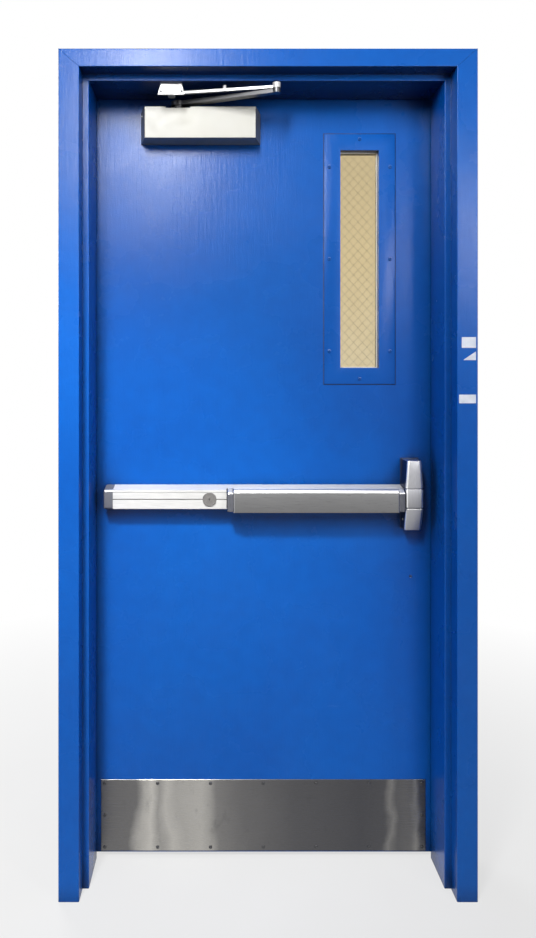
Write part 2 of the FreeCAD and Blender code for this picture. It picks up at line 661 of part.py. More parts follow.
def tapered_bar(start, end, start_width, end_width, z0, z1):
    """Flat bar between two points in plan."""
    run = V(end.x - start.x, end.y - start.y, 0)
    run.normalize()
    across = V(-run.y, run.x, 0)
    points = [start + across * (start_width / 2), end + across * (end_width / 2),
              end - across * (end_width / 2), start - across * (start_width / 2)]
    return prism([V(p.x, p.y, z0) for p in points], V(0, 0, z1 - z0))


def main_arm():
    """Tapered arm from the spindle to the lower half of the elbow."""
    z0 = MAIN_ARM_Z
    z1 = z0 + ARM_THICKNESS
    hub = post(PINION_X, PINION_Y, z0, z1, MAIN_ARM_HUB)
    boss = post(ELBOW_X, ELBOW_Y, z0, z1 + ARM_LAYER_GAP - SEAT_GAP, ELBOW_BOSS)
    bar = tapered_bar(V(PINION_X, PINION_Y, 0), V(ELBOW_X, ELBOW_Y, 0), MAIN_ARM_ROOT, MAIN_ARM_END, z0, z1)
    arm = hub.fuse([boss, bar]).removeSplitter()
    return arm.cut(post(PINION_X, PINION_Y, z0, z1, SPINDLE_DIAMETER + RUN_CLEARANCE * 2))


def forearm():
    """Straight bar from the shoe's pivot to the upper half of the elbow."""
    z0 = FOREARM_Z
    z1 = z0 + ARM_THICKNESS
    eye = post(SHOE_PIVOT_X, SHOE_PIVOT_Y, z0, z1, FOREARM_EYE)
    boss = post(ELBOW_X, ELBOW_Y, z0, z1 + ELBOW_TOP, ELBOW_BOSS)
    bar = tapered_bar(V(SHOE_PIVOT_X, SHOE_PIVOT_Y, 0), V(ELBOW_X, ELBOW_Y, 0), FOREARM_WIDTH, FOREARM_WIDTH,
                      z0, z0 + FOREARM_THICKNESS)
    arm = eye.fuse([boss, bar]).removeSplitter()
    return arm.cut(post(SHOE_PIVOT_X, SHOE_PIVOT_Y, z0, z1, PIVOT_DIAMETER + RUN_CLEARANCE * 2))


def forearm_adjuster():
    """Screw that sets the forearm's length, standing on the bar."""
    share = ADJUSTER_REACH / (ELBOW_X - SHOE_PIVOT_X)
    x = SHOE_PIVOT_X + ADJUSTER_REACH
    y = SHOE_PIVOT_Y + (ELBOW_Y - SHOE_PIVOT_Y) * share
    z0 = FOREARM_Z + FOREARM_THICKNESS
    return post(x, y, z0, z0 + ADJUSTER_HEIGHT, ADJUSTER_DIAMETER)


def closer_shoe():
    """Cast bracket under the head: a plate on the soffit and a flared front wall."""
    z1 = SOFFIT_Z
    z0 = z1 - SHOE_HEIGHT
    middle = SHOE_PIVOT_X
    top = SHOE_TOP_WIDTH / 2
    flare = SHOE_BOTTOM_WIDTH / 2
    front = [V(middle - top, SHOE_FRONT_Y, z1), V(middle + top, SHOE_FRONT_Y, z1),
             V(middle + flare, SHOE_FRONT_Y, z0), V(middle - flare, SHOE_FRONT_Y, z0)]
    wall = prism(front, V(0, SHOE_WALL, 0))
    plate = block(middle - top, middle + top, SHOE_FRONT_Y, SHOE_PIVOT_Y + SHOE_BACK_MARGIN,
                  z1 - SHOE_PLATE, z1)
    shoe = wall.fuse(plate).removeSplitter()
    bore = PIVOT_DIAMETER + RUN_CLEARANCE * 2
    return shoe.cut(post(middle, SHOE_PIVOT_Y, z1 - SHOE_PLATE, z1, bore))


def shoe_pivot():
    """Shoulder screw that carries the forearm under the shoe."""
    z0 = FOREARM_Z - SEAT_GAP
    shank = post(SHOE_PIVOT_X, SHOE_PIVOT_Y, z0, SOFFIT_Z - RUN_CLEARANCE, PIVOT_DIAMETER)
    cap = post(SHOE_PIVOT_X, SHOE_PIVOT_Y, z0 - PIVOT_HEAD_HEIGHT, z0, PIVOT_HEAD)
    return shank.fuse(cap).removeSplitter()


def build():
    os.makedirs("parts", exist_ok=True)
    save("hinge_jamb", jamb(-1))
    save("strike_jamb", jamb(1))
    save("frame_head", head())
    save("hinge_jamb_anchor", floor_anchor(-1))
    save("strike_jamb_anchor", floor_anchor(1))
    save("silencers", silencers())
    save("hinge_reinforcements", hinge_reinforcements())
    for name, z in zip(("bottom", "middle", "top"), HINGE_HEIGHTS):
        save(f"{name}_hinge_frame_leaf", hinge_leaf(z, True))
        save(f"{name}_hinge_door_leaf", hinge_leaf(z, False))
    save("push_side_skin", leaf_skin(True))
    save("pull_side_skin", leaf_skin(False))
    save("leaf_top_channel", end_channel(True))
    save("leaf_bottom_channel", end_channel(False))
    save("lite_frame_push", lite_frame(True))
    save("lite_frame_pull", lite_frame(False))
    save("lite_glass", lite_glass())
    save("kick_plate", kick_plate())
    save("exit_rail", exit_rail())
    save("exit_rail_end_cap", rail_end_cap())
    save("dogging_plug", dogging_plug())
    save("push_pad", push_pad())
    save("push_pad_left_cap", pad_cap(PAD_LEFT - PAD_CAP_LENGTH))
    save("push_pad_right_cap", pad_cap(PAD_RIGHT))
    save("exit_case_cover", exit_case_cover())
    save("exit_case_base", exit_case_base())
    save("closer_cover", closer_cover())
    save("closer_body", closer_body())
    save("closer_spindle", closer_spindle())
    save("closer_main_arm", main_arm())
    save("closer_forearm", forearm())
    save("forearm_adjuster", forearm_adjuster())
    save("closer_shoe", closer_shoe())
    save("shoe_pivot", shoe_pivot())


build()
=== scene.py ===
import json
import math

import bpy
from bpy.props import FloatProperty, FloatVectorProperty, IntProperty, PointerProperty
from mathutils import Matrix, Vector

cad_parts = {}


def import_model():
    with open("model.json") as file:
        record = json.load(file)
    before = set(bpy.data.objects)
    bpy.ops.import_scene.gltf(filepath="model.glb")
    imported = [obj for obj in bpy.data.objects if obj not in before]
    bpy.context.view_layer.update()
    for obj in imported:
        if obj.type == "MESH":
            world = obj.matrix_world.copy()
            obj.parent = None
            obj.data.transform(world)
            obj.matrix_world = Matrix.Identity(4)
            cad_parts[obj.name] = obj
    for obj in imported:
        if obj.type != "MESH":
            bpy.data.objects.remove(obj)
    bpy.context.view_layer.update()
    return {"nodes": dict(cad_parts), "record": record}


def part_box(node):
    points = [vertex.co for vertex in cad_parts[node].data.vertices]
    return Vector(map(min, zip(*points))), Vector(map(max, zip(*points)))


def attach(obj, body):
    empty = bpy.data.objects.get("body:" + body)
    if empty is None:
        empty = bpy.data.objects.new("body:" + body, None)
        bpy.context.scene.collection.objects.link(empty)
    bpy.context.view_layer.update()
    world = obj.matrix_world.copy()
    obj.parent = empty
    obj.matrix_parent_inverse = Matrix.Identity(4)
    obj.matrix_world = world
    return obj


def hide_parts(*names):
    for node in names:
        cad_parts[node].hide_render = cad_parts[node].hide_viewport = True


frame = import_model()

bl_info = {
    "name": "Steel utility door finish",
    "version": (1, 0, 0),
    "blender": (4, 5, 0),
    "location": "View3D > Sidebar > Door",
    "description": "Finishes, small fittings and stage for a steel door in its frame",
    "category": "Object",
}

MM = 0.001

# Tolerance of a test on a place, and how far a cutter passes the piece that it cuts
NEAR = 0.01 * MM
PAST = 9 * MM

SMOOTH_ANGLE = math.radians(35)
EDGE_ROUND = 0.8 * MM
GRAIN_DEPTH = 0.02 * MM
LITE_LIP = 14 * MM
TONGUE_HALF = 24.9 * MM
PAD_NECK = 18 * MM
DOOR_MIDDLE = 0.47

# Share of the lighter tone of the painted reflections at places along the kick plate
KICK_REFLECTIONS = (
    (0, 0.17), (0.09, 0.19), (0.12, 0.75), (0.15, 1.0), (0.18, 0.55), (0.21, 0.88), (0.25, 0.70),
    (0.31, 0.80), (0.34, 0.62), (0.37, 0.30), (0.45, 0.15), (0.60, 0.05), (0.80, 0.0), (0.87, 0.02),
    (0.89, 0.28), (0.91, 0.08), (0.95, 0.14), (0.965, 0.34), (0.98, 0.06), (1, 0.03))

# Left, right, lower and upper edges of the tags on the strike jamb
TAG_EDGES = {
    "jamb_tag_top": (0.9437, 0.9782, 1.350, 1.376),
    "jamb_tag_torn": (0.9482, 0.9782, 1.320, 1.342),
    "jamb_tag_low": (0.9372, 0.9782, 1.215, 1.236),
}

# Finishes by slot, and the nodes that take another one than their slot's
FINISHES = {}
SHADED = {"closer_main_arm": "dark_arm", "closer_spindle": "dark_arm", "exit_case_base": "shaded_side"}

COLOUR = {"subtype": "COLOR", "size": 3, "min": 0, "max": 1}
LENGTH = {"subtype": "DISTANCE", "unit": "LENGTH"}


# Sizes and colours that a user would change

class PaintLooks(bpy.types.PropertyGroup):
    enamel: FloatVectorProperty(
        name="Enamel", description="Colour of the paint on the frame and the leaf",
        default=(0.0, 0.081, 0.395), **COLOUR)
    enamel_worn: FloatVectorProperty(
        name="Worn enamel", description="Colour where the paint has faded",
        default=(0.001, 0.100, 0.45), **COLOUR)
    scuff: FloatVectorProperty(
        name="Scuffs", description="Colour of light rubs in the paint",
        default=(0.10, 0.24, 0.62), **COLOUR)
    stipple: FloatProperty(
        name="Stipple", description="Height of the roller stipple in the paint",
        default=0.00025, **LENGTH)


class MetalLooks(bpy.types.PropertyGroup):
    # The kick plate's light and dark bands are painted reflections; the dark tone also sets its wear marks.
    kick_dark_reflection: FloatVectorProperty(
        name="Plate, dark", description="Darker bands of the brushed kick plate",
        default=(0.085, 0.085, 0.092), **COLOUR)
    kick_light_reflection: FloatVectorProperty(
        name="Plate, light", description="Lighter bands of the brushed kick plate",
        default=(0.56, 0.54, 0.50), **COLOUR)
    pad: FloatVectorProperty(
        name="Touch pad", description="Brushed steel of the touch pad",
        default=(0.27, 0.27, 0.272), **COLOUR)
    case: FloatVectorProperty(
        name="Exit case", description="Satin steel of the exit case",
        default=(0.43, 0.43, 0.45), **COLOUR)
    rail: FloatVectorProperty(
        name="Rail", description="Bright aluminium of the rail",
        default=(0.655, 0.65, 0.635), **COLOUR)
    lacquer: FloatVectorProperty(
        name="Closer lacquer", description="Pale lacquer on the closer's cover",
        default=(0.59, 0.586, 0.545), **COLOUR)
    arm: FloatVectorProperty(
        name="Arm lacquer", description="Silver lacquer on the closer's arms and shoe",
        default=(0.62, 0.62, 0.615), **COLOUR)
    cap: FloatVectorProperty(
        name="Moulded ends", description="Grey moulded ends of the exit device",
        default=(0.106, 0.109, 0.128), **COLOUR)
    # The glass colour is a painted view of the lit room through the glass, not a tint of its own.
    glass: FloatVectorProperty(
        name="Glass", description="Warm tint of the wired glass",
        default=(0.66, 0.53, 0.29), **COLOUR)


class FittingSizes(bpy.types.PropertyGroup):
    wire: FloatProperty(
        name="Wire", description="Thickness of the wire in the glass", default=0.0008, **LENGTH)
    mesh_width: FloatProperty(
        name="Mesh width", description="Width of one diamond of the wire mesh", default=0.024, **LENGTH)
    mesh_height: FloatProperty(
        name="Mesh height", description="Height of one diamond of the wire mesh", default=0.026, **LENGTH)
    lite_screw: FloatProperty(
        name="Lite screw", description="Radius of the screws in the lite frame", default=0.0048, **LENGTH)
    kick_screw: FloatProperty(
        name="Kick plate screw", description="Radius of the screws in the kick plate",
        default=0.0045, **LENGTH)
    kick_screws: IntProperty(
        name="Screws along the plate", description="Number of screws along each long edge of the kick plate",
        min=2, max=12, default=7)
    case_round: FloatProperty(
        name="Case rounding", description="Rounding of the exit case's upright edges",
        default=0.0075, **LENGTH)


class StageLooks(bpy.types.PropertyGroup):
    eye: FloatVectorProperty(
        name="Eye", description="Where the camera stands",
        subtype="TRANSLATION", unit="LENGTH", size=3, default=(0.3472, -1.951, 1.273))
    lens: FloatProperty(
        name="Lens", description="Focal length in millimetres on a 36 mm sensor",
        subtype="DISTANCE_CAMERA", default=29.0)
    shift_x: FloatProperty(
        name="Shift across", description="Sideways shift of the picture", default=0.0546)
    shift_y: FloatProperty(
        name="Shift up", description="Upward shift of the picture", default=-0.0955)
    key: FloatProperty(
        name="Key lamp", description="Power of the far lamp in front on the left",
        subtype="POWER", default=28)
    glare: FloatProperty(
        name="Glare lamp", description="Power of the near lamp above on the left",
        subtype="POWER", default=36.5)
    spot: FloatProperty(
        name="Spot lamp", description="Power of the spot on the lower leaf",
        subtype="POWER", default=305)
    side: FloatProperty(
        name="Side lamp", description="Power of the weak lamp on the right",
        subtype="POWER", default=8)
    fill: FloatProperty(
        name="Fill lamp", description="Power of the lamp in front on the far right",
        subtype="POWER", default=11)
    back: FloatProperty(
        name="Back lamp", description="Power of the lamp behind the door",
        subtype="POWER", default=150)
    ambient: FloatProperty(
        name="Surroundings", description="Strength of the even light all round", default=0.035)


class DoorLooks(bpy.types.PropertyGroup):
    paint: PointerProperty(type=PaintLooks, name="Paint", description="Paint on the frame and the leaf")
    metal: PointerProperty(type=MetalLooks, name="Metals", description="Metals, lacquers and glass")
    sizes: PointerProperty(type=FittingSizes, name="Fittings", description="Sizes of small fittings")
    stage: PointerProperty(type=StageLooks, name="Stage", description="Camera and light")


def looks():
    """The values that the user may have changed."""
    return bpy.context.scene.door_looks


# Material nodes

def feed(tree, made, **values):
    """Link or set the sockets of a node by their names, with _ for a blank."""
    for name, value in values.items():
        put(tree, value, made.inputs[name.replace("_", " ")])
    return made


def put(tree, value, socket):
    """Link an output to a socket, or set a plain value there."""
    if hasattr(value, "links"):
        tree.links.new(value, socket)
    else:
        socket.default_value = value


def new_node(tree, kind, **values):
    """A new node with values at its sockets."""
    return feed(tree, tree.nodes.new(kind), **values)


def finish(name):
    """New material with one shader, ready for its texture nodes."""
    made = bpy.data.materials.new(name)
    made.use_nodes = True
    tree = made.node_tree
    tree.nodes.clear()
    shader = new_node(tree, "ShaderNodeBsdfPrincipled")
    new_node(tree, "ShaderNodeOutputMaterial", Surface=shader.outputs["BSDF"])
    return made, tree, shader


def shaded(colour, share):
    """A colour made darker or lighter, up to white."""
    return [min(1, c * share) for c in colour]


def noise(tree, scale, detail=3.0, stretch=(1, 1, 1), rough=0.5):
    """Noise on the piece's own coordinates, stretched along its axes."""
    coords = new_node(tree, "ShaderNodeTexCoord")
    place = new_node(tree, "ShaderNodeMapping", Vector=coords.outputs["Object"], Scale=stretch)
    made = new_node(tree, "ShaderNodeTexNoise", Vector=place.outputs["Vector"],
                    Scale=scale, Detail=detail, Roughness=rough)
    return made.outputs["Fac"]


def span(tree, value, low, high, start=0.3, end=0.7):
    """Value taken from one range to another."""
    made = new_node(tree, "ShaderNodeMapRange", Value=value,
                    From_Min=start, From_Max=end, To_Min=low, To_Max=high)
    return made.outputs["Result"]


def maths(tree, operation, *values):
    """One sum on values from other nodes and plain numbers."""
    made = new_node(tree, "ShaderNodeMath")
    made.operation = operation
    for value, socket in zip(values, made.inputs):
        put(tree, value, socket)
    return made.outputs[0]


def tone(tree, value, *stops):
    """Colour ramp of (place, colour) stops."""
    made = new_node(tree, "ShaderNodeValToRGB", Fac=value)
    ramp = made.color_ramp
    while len(ramp.elements) < len(stops):
        ramp.elements.new(0.5)
    for element, (place, colour) in zip(ramp.elements, stops):
        element.position = place
        element.color = (*colour, 1)
    return made.outputs["Color"]


def over(tree, value, under, upper, blend="MIX"):
    """Two colours mixed by a value."""
    made = new_node(tree, "ShaderNodeMix")
    made.data_type = "RGBA"
    made.blend_type = blend
    under, upper = (c if hasattr(c, "links") else (*c, 1) for c in (under, upper))
    feed(tree, made, Factor=value, A=under, B=upper)
    return next(s for s in made.outputs if s.type == "RGBA")


def relief(tree, shader, height, depth, edge=0.0, strength=1.0):
    """Bump from a height, over edges softened by a radius."""
    made = new_node(tree, "ShaderNodeBump", Strength=strength, Distance=depth, Height=height)
    if edge:
        soft = new_node(tree, "ShaderNodeBevel", Radius=edge)
        soft.samples = 6
        feed(tree, made, Normal=soft.outputs["Normal"])
    feed(tree, shader, Normal=made.outputs["Normal"])


def along_axes(tree, source):
    """The piece's own place or direction of its faces, split into X, Y and Z."""
    coords = new_node(tree, "ShaderNodeTexCoord")
    return new_node(tree, "ShaderNodeSeparateXYZ", Vector=coords.outputs[source]).outputs


def underside(tree, most):
    """A value that rises on faces that look down."""
    return span(tree, along_axes(tree, "Normal")["Z"], most, 0.0, -0.7, -0.15)


def sideways(tree, most):
    """A value that rises on faces that look to the piece's own left or right."""
    either = maths(tree, "ABSOLUTE", along_axes(tree, "Normal")["X"])
    return span(tree, either, 0.0, most, 0.35, 0.8)


def height_of(tree, low, high):
    """A value from 0 to 1 between two heights."""
    return span(tree, along_axes(tree, "Object")["Z"], 0.0, 1.0, low, high)


def seen_directly(tree):
    """One for rays from the camera, from mirrors and through glass."""
    path = new_node(tree, "ShaderNodeLightPath")
    total = path.outputs["Is Camera Ray"]
    for name in ("Is Glossy Ray", "Is Transmission Ray"):
        total = maths(tree, "MAXIMUM", total, path.outputs[name])
    return total


def shared(tree, share, first, second, out):
    """Two shaders mixed by a share and linked to an output."""
    mix = new_node(tree, "ShaderNodeMixShader")
    for value, socket in zip((share, first, second), mix.inputs):
        put(tree, value, socket)
    feed(tree, out, Surface=mix.outputs[0])


# Paint, metals, lacquers, glass and paper

def blue_enamel():
    """Rolled blue paint that has faded, with light rubs and brush streaks, and painted shade in its corners
    and on faces that look down.
    """
    paint = looks().paint
    made, tree, shader = finish("blue_enamel")
    faded = tone(tree, noise(tree, 1.4, 3), (0.34, paint.enamel), (0.68, paint.enamel_worn))
    clouds = tone(tree, noise(tree, 26, 5, rough=0.6),
                  (0.3, (0.93, 0.93, 0.93)), (0.72, (1.06, 1.05, 1.03)))
    base = over(tree, 1.0, faded, clouds, "MULTIPLY")
    rubs = span(tree, noise(tree, 7, 6, (1, 1, 9), 0.7), 0.0, 0.3, 0.68, 0.82)
    worn = over(tree, rubs, base, paint.scuff)
    # Painted shade: ambient occlusion darkens the paint in corners, reveals and recesses, and faces that
    # look down darken too.
    hollow = new_node(tree, "ShaderNodeAmbientOcclusion", Distance=0.11)
    hollow.samples = 6
    hollow_shade = span(tree, hollow.outputs["AO"], 0.85, 0.0, 0.35, 0.68)
    shade = shaded(paint.enamel, 0.12)
    shade_below = over(tree, underside(tree, 0.93), worn, shade)
    feed(tree, shader, Base_Color=over(tree, hollow_shade, shade_below, shade),
         Roughness=span(tree, noise(tree, 5, 5), 0.22, 0.33), Specular_IOR_Level=0.24)
    stipple = maths(tree, "ADD", noise(tree, 420, 3, (1, 1, 0.07)), noise(tree, 300, 2))
    streaks = maths(tree, "MULTIPLY_ADD", noise(tree, 120, 3, (1, 1, 0.09)), 1.5, stipple)
    relief(tree, shader, streaks, paint.stipple, 1.6 * MM, 0.75)
    return made


def brushed(name, colour, along, roughness, edge=EDGE_ROUND, metal=1.0, grit=0.17, height_shade=None):
    """Brushed metal with its grain along one axis. It may take painted shade that darkens it by a range of
    heights and stops.
    """
    made, tree, shader = finish(name)
    stretch = tuple(0.02 if axis == along else 1.0 for axis in "XYZ")
    grain = noise(tree, 1400, 2, stretch)
    lines = tone(tree, grain, (0.25, shaded(colour, 1 - grit)), (0.75, shaded(colour, 1 + grit)))
    smudge = span(tree, noise(tree, 9, 4), 0.0, 0.28, 0.42, 0.75)
    final = over(tree, smudge, lines, shaded(colour, 0.72))
    # Painted shade that darkens the metal by height.
    if height_shade:
        low, high, *stops = height_shade
        greys = ((place, (share,) * 3) for place, share in stops)
        dimmed = tone(tree, height_of(tree, low, high), *greys)
        final = over(tree, dimmed, final, shaded(colour, 0.4))
    feed(tree, shader, Base_Color=final, Metallic=metal,
         Roughness=span(tree, grain, roughness - 0.06, roughness + 0.08))
    relief(tree, shader, grain, GRAIN_DEPTH, edge, 0.5)
    return made


def kick_steel():
    """Brushed stainless steel with painted reflections as light and dark bands along the plate, and small
    wear marks.
    """
    metal = looks().metal
    made, tree, shader = finish("kick_steel")
    low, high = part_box("kick_plate")
    along = span(tree, along_axes(tree, "Object")["X"], 0.0, 1.0, low.x, high.x)
    wander = span(tree, noise(tree, 9, 4, (1, 1, 0.6)), -0.02, 0.02)
    dark, light = Vector(metal.kick_dark_reflection), Vector(metal.kick_light_reflection)
    # Painted reflections: light and dark bands at fixed places along the plate.
    bands = ((place, dark.lerp(light, share)) for place, share in KICK_REFLECTIONS)
    streaks = tone(tree, maths(tree, "ADD", along, wander), *bands)
    grain = noise(tree, 1500, 2, (0.015, 1, 1))
    marks = span(tree, noise(tree, 34, 5, (1, 1, 0.5), 0.65), 0.0, 0.4, 0.6, 0.8)
    worn = over(tree, marks, streaks, shaded(metal.kick_dark_reflection, 0.8))
    feed(tree, shader, Base_Color=worn, Metallic=1.0, Roughness=span(tree, grain, 0.24, 0.40))
    relief(tree, shader, grain, GRAIN_DEPTH, 0.5 * MM, 0.5)
    return made


def lacquered(name, colour, stain, roughness, edge, metal, ends=0.0):
    """Metallic lacquer with a fine flake and a faint stain, painted shade on faces that look down and, when
    asked, on its ends.
    """
    made, tree, shader = finish(name)
    flake = noise(tree, 2600, 1)
    tint = tone(tree, noise(tree, 6, 4), (0.36, colour), (0.72, stain))
    dust = span(tree, flake, 0.0, 0.16, 0.5, 0.8)
    flecked = over(tree, dust, tint, shaded(colour, 0.55))
    shade = shaded(colour, 0.12)
    # Painted shade on faces that look down.
    final = over(tree, underside(tree, 0.85), flecked, shade)
    # Painted shade on the ends, the faces that look left or right.
    if ends:
        final = over(tree, sideways(tree, ends), final, shade)
    feed(tree, shader, Base_Color=final, Metallic=metal,
         Roughness=span(tree, noise(tree, 40, 3), roughness - 0.05, roughness + 0.07))
    relief(tree, shader, flake, 0.03 * MM, edge, 0.4)
    return made


def grained(name, colour, roughness, scale, depth):
    """Matt surface with a fine even grain, as on moulded, cast or primed pieces."""
    made, tree, shader = finish(name)
    grain = noise(tree, scale, 4, rough=0.6)
    mottle = tone(tree, grain, (0.3, shaded(colour, 0.78)), (0.72, shaded(colour, 1.22)))
    feed(tree, shader, Base_Color=mottle,
         Roughness=span(tree, noise(tree, scale / 12, 4), roughness - 0.08, roughness + 0.1))
    relief(tree, shader, grain, depth, EDGE_ROUND, 0.6)
    return made


def wired_glass():
    """Glass whose warm colour, paler towards its foot and darker at its top, is a painted view of the lit
    room beyond, with a faint haze.
    """
    made, tree, shader = finish("wired_glass")
    haze = noise(tree, 16, 5, (1, 1, 0.6), 0.6)
    clear = Vector(looks().metal.glass)
    foot = clear * 1.03 + Vector((0, 0.03, 0.07))
    low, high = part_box("lite_glass")
    graded = tone(tree, height_of(tree, low.z, high.z), (0.05, foot), (0.5, clear), (0.9, clear * 0.86))
    tinted = over(tree, span(tree, haze, 0.0, 0.5), graded, clear * 0.9)
    feed(tree, shader, Base_Color=tinted, Roughness=span(tree, haze, 0.02, 0.10),
         IOR=1.48, Transmission_Weight=1.0)
    return made


def glass_wire():
    """Dull steel wire as it looks inside the glass."""
    made, tree, shader = finish("glass_wire")
    tarnish = tone(tree, noise(tree, 90), (0.3, (0.16, 0.14, 0.11)), (0.7, (0.26, 0.235, 0.19)))
    feed(tree, shader, Base_Color=tarnish, Metallic=0.6, Roughness=span(tree, noise(tree, 300), 0.35, 0.6))
    return made


def tag_paper():
    """Plain paper with faint blots and creases."""
    made, tree, shader = finish("tag_paper")
    blots = noise(tree, 60, 5)
    faded = tone(tree, blots, (0.35, (0.67, 0.71, 0.80)), (0.75, (0.54, 0.58, 0.66)))
    feed(tree, shader, Base_Color=faded, Roughness=span(tree, blots, 0.5, 0.7))
    relief(tree, shader, noise(tree, 110, 4), 0.3 * MM, 0, 0.5)
    return made


def floor_finish():
    """Pale floor that keeps the shadow near the door and turns white further off."""
    made, tree, shader = finish("pale_floor")
    grey = tone(tree, noise(tree, 3, 4), (0.3, (0.38, 0.38, 0.38)), (0.7, (0.42, 0.42, 0.42)))
    feed(tree, shader, Base_Color=grey, Roughness=0.9, Specular_IOR_Level=0.1)
    coords = new_node(tree, "ShaderNodeTexCoord")
    away = new_node(tree, "ShaderNodeVectorMath")
    away.operation = "DISTANCE"
    put(tree, coords.outputs["Object"], away.inputs[0])
    put(tree, (DOOR_MIDDLE, 0, 0), away.inputs[1])
    far = span(tree, away.outputs["Value"], 0.68, 1.0, 0.5, 2.4)
    glow = new_node(tree, "ShaderNodeEmission", Color=(1, 1, 1, 1))
    out = next(n for n in tree.nodes if n.type == "OUTPUT_MATERIAL")
    share = maths(tree, "MULTIPLY", far, seen_directly(tree))
    shared(tree, share, shader.outputs[0], glow.outputs[0], out)
    return made


def pale_surroundings(strength):
    """World that looks white and lights the door evenly at a strength."""
    world = bpy.data.worlds.new("pale_surroundings")
    world.use_nodes = True
    tree = world.node_tree
    tree.nodes.clear()
    even = new_node(tree, "ShaderNodeBackground", Color=(0.96, 0.98, 1, 1), Strength=strength)
    white = new_node(tree, "ShaderNodeBackground", Color=(1, 1, 1, 1))
    out = new_node(tree, "ShaderNodeOutputWorld")
    shared(tree, seen_directly(tree), even.outputs[0], white.outputs[0], out)
    return world


# Modelling helpers

def clear_selection():
    """Back to object mode with nothing selected."""
    if bpy.context.mode != "OBJECT":
        bpy.ops.object.mode_set(mode="OBJECT")
    bpy.ops.object.select_all(action="DESELECT")


def only(piece):
    """Select one piece and make it active."""
    clear_selection()
    piece.select_set(True)
    bpy.context.view_layer.objects.active = piece


def named(name):
    """The piece just added, with its place applied to its mesh."""
    piece = bpy.context.object
    piece.name = piece.data.name = name
    bpy.ops.object.transform_apply(location=True, rotation=True, scale=True)
    return piece


def block(name, low, high):
    """A block between two corners."""
    low, high = Vector(low), Vector(high)
    clear_selection()
    bpy.ops.mesh.primitive_cube_add(size=1, location=(low + high) / 2, scale=high - low)
    return named(name)


def disc(name, centre, radius, depth, axis="Y", sides=32):
    """A round block about an axis."""
    turn = {"X": (0, math.pi / 2, 0), "Y": (math.pi / 2, 0, 0), "Z": (0, 0, 0)}[axis]
    clear_selection()
    bpy.ops.mesh.primitive_cylinder_add(
        vertices=sides, radius=radius, depth=depth, location=centre, rotation=turn)
    return named(name)


def pick(piece, kind, test):
    """Into edit mode with the vertices, edges or faces that pass a test of their middle and direction."""
    only(piece)
    mesh = piece.data
    groups = {"VERT": mesh.vertices, "EDGE": mesh.edges, "FACE": mesh.polygons}
    for group in groups.values():
        group.foreach_set("select", [False] * len(group))
    bpy.context.tool_settings.mesh_select_mode = [kind == name for name in groups]
    found = False
    for item in groups[kind]:
        if kind == "VERT":
            wanted = test(item.co)
        elif kind == "EDGE":
            a, b = (mesh.vertices[i].co for i in item.vertices)
            wanted = test((a + b) / 2, (b - a).normalized())
        else:
            wanted = test(item.center, item.normal)
        if wanted:
            item.select = found = True
    if not found:
        raise RuntimeError(f"nothing to shape on {piece.name}")
    bpy.ops.object.mode_set(mode="EDIT")


def pick_all(piece):
    """Into edit mode with the whole piece selected."""
    only(piece)
    bpy.ops.object.mode_set(mode="EDIT")
    bpy.ops.mesh.select_all(action="SELECT")


def shaped():
    """Out of edit mode."""
    bpy.ops.object.mode_set(mode="OBJECT")


def before(depth):
    """A test for what lies at a depth or in front of it."""
    return lambda mid, way=None: mid.y < depth + NEAR


def runs_along(axis):
    """A test for edges that run along an axis."""
    return lambda mid, way: abs(getattr(way, axis)) > 0.9


def bevel(piece, test, width, segments=3):
    """Round the edges that pass a test."""
    pick(piece, "EDGE", test)
    bpy.ops.mesh.bevel(offset=width, segments=segments, profile=0.5, affect="EDGES")
    shaped()


def taper(piece, test, scale, centre):
    """Draw the vertices that pass a test in towards a point."""
    pick(piece, "VERT", test)
    bpy.ops.transform.resize(value=scale, center_override=centre)
    shaped()


def applied(piece, kind, **settings):
    """Add one modifier and apply it."""
    only(piece)
    made = piece.modifiers.new(kind.title(), kind)
    for key, value in settings.items():
        setattr(made, key, value)
    bpy.ops.object.modifier_apply(modifier=made.name)
    return piece


def carve(piece, *cutters):
    """Cut the cutters out of a piece."""
    for cutter in cutters:
        applied(piece, "BOOLEAN", object=cutter, operation="DIFFERENCE", solver="EXACT")
        bpy.data.objects.remove(cutter)
    return piece


def ring(name, low, high, rim):
    """A block with an opening through its depth that leaves a rim."""
    low, high = Vector(low), Vector(high)
    piece = block(name, low, high)
    inside = Vector((rim, -PAST, rim))
    return carve(piece, block(name + "_opening", low + inside, high - inside))


def joined(name, pieces):
    """Pieces made into one."""
    clear_selection()
    for piece in pieces:
        piece.select_set(True)
    bpy.context.view_layer.objects.active = pieces[0]
    if len(pieces) > 1:
        bpy.ops.object.join()
    piece = bpy.context.view_layer.objects.active
    piece.name = piece.data.name = name
    return piece


def repeated(name, pattern, places):
    """Copies of a piece modelled at the origin, each with its own mesh, joined into one."""
    made = []
    for place in places:
        twin = pattern.copy()
        twin.data = pattern.data.copy()
        bpy.context.collection.objects.link(twin)
        twin.data.transform(place if isinstance(place, Matrix) else Matrix.Translation(place))
        made.append(twin)
    bpy.data.objects.remove(pattern)
    return joined(name, made)


def settle(piece, body, slot, material=None):
    """Smooth the piece, give it its finish and let it move with its body."""
    only(piece)
    bpy.ops.object.shade_smooth_by_angle(angle=SMOOTH_ANGLE)
    piece.data.materials.clear()
    piece.data.materials.append(material or FINISHES[slot])
    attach(piece, body)
    return piece


def refinish(piece, slot, test):
    """Give the faces whose normal passes a test a finish of their own."""
    piece.data.materials.append(FINISHES[slot])
    for face in piece.data.polygons:
        if test(face.normal):
            face.material_index = len(piece.data.materials) - 1


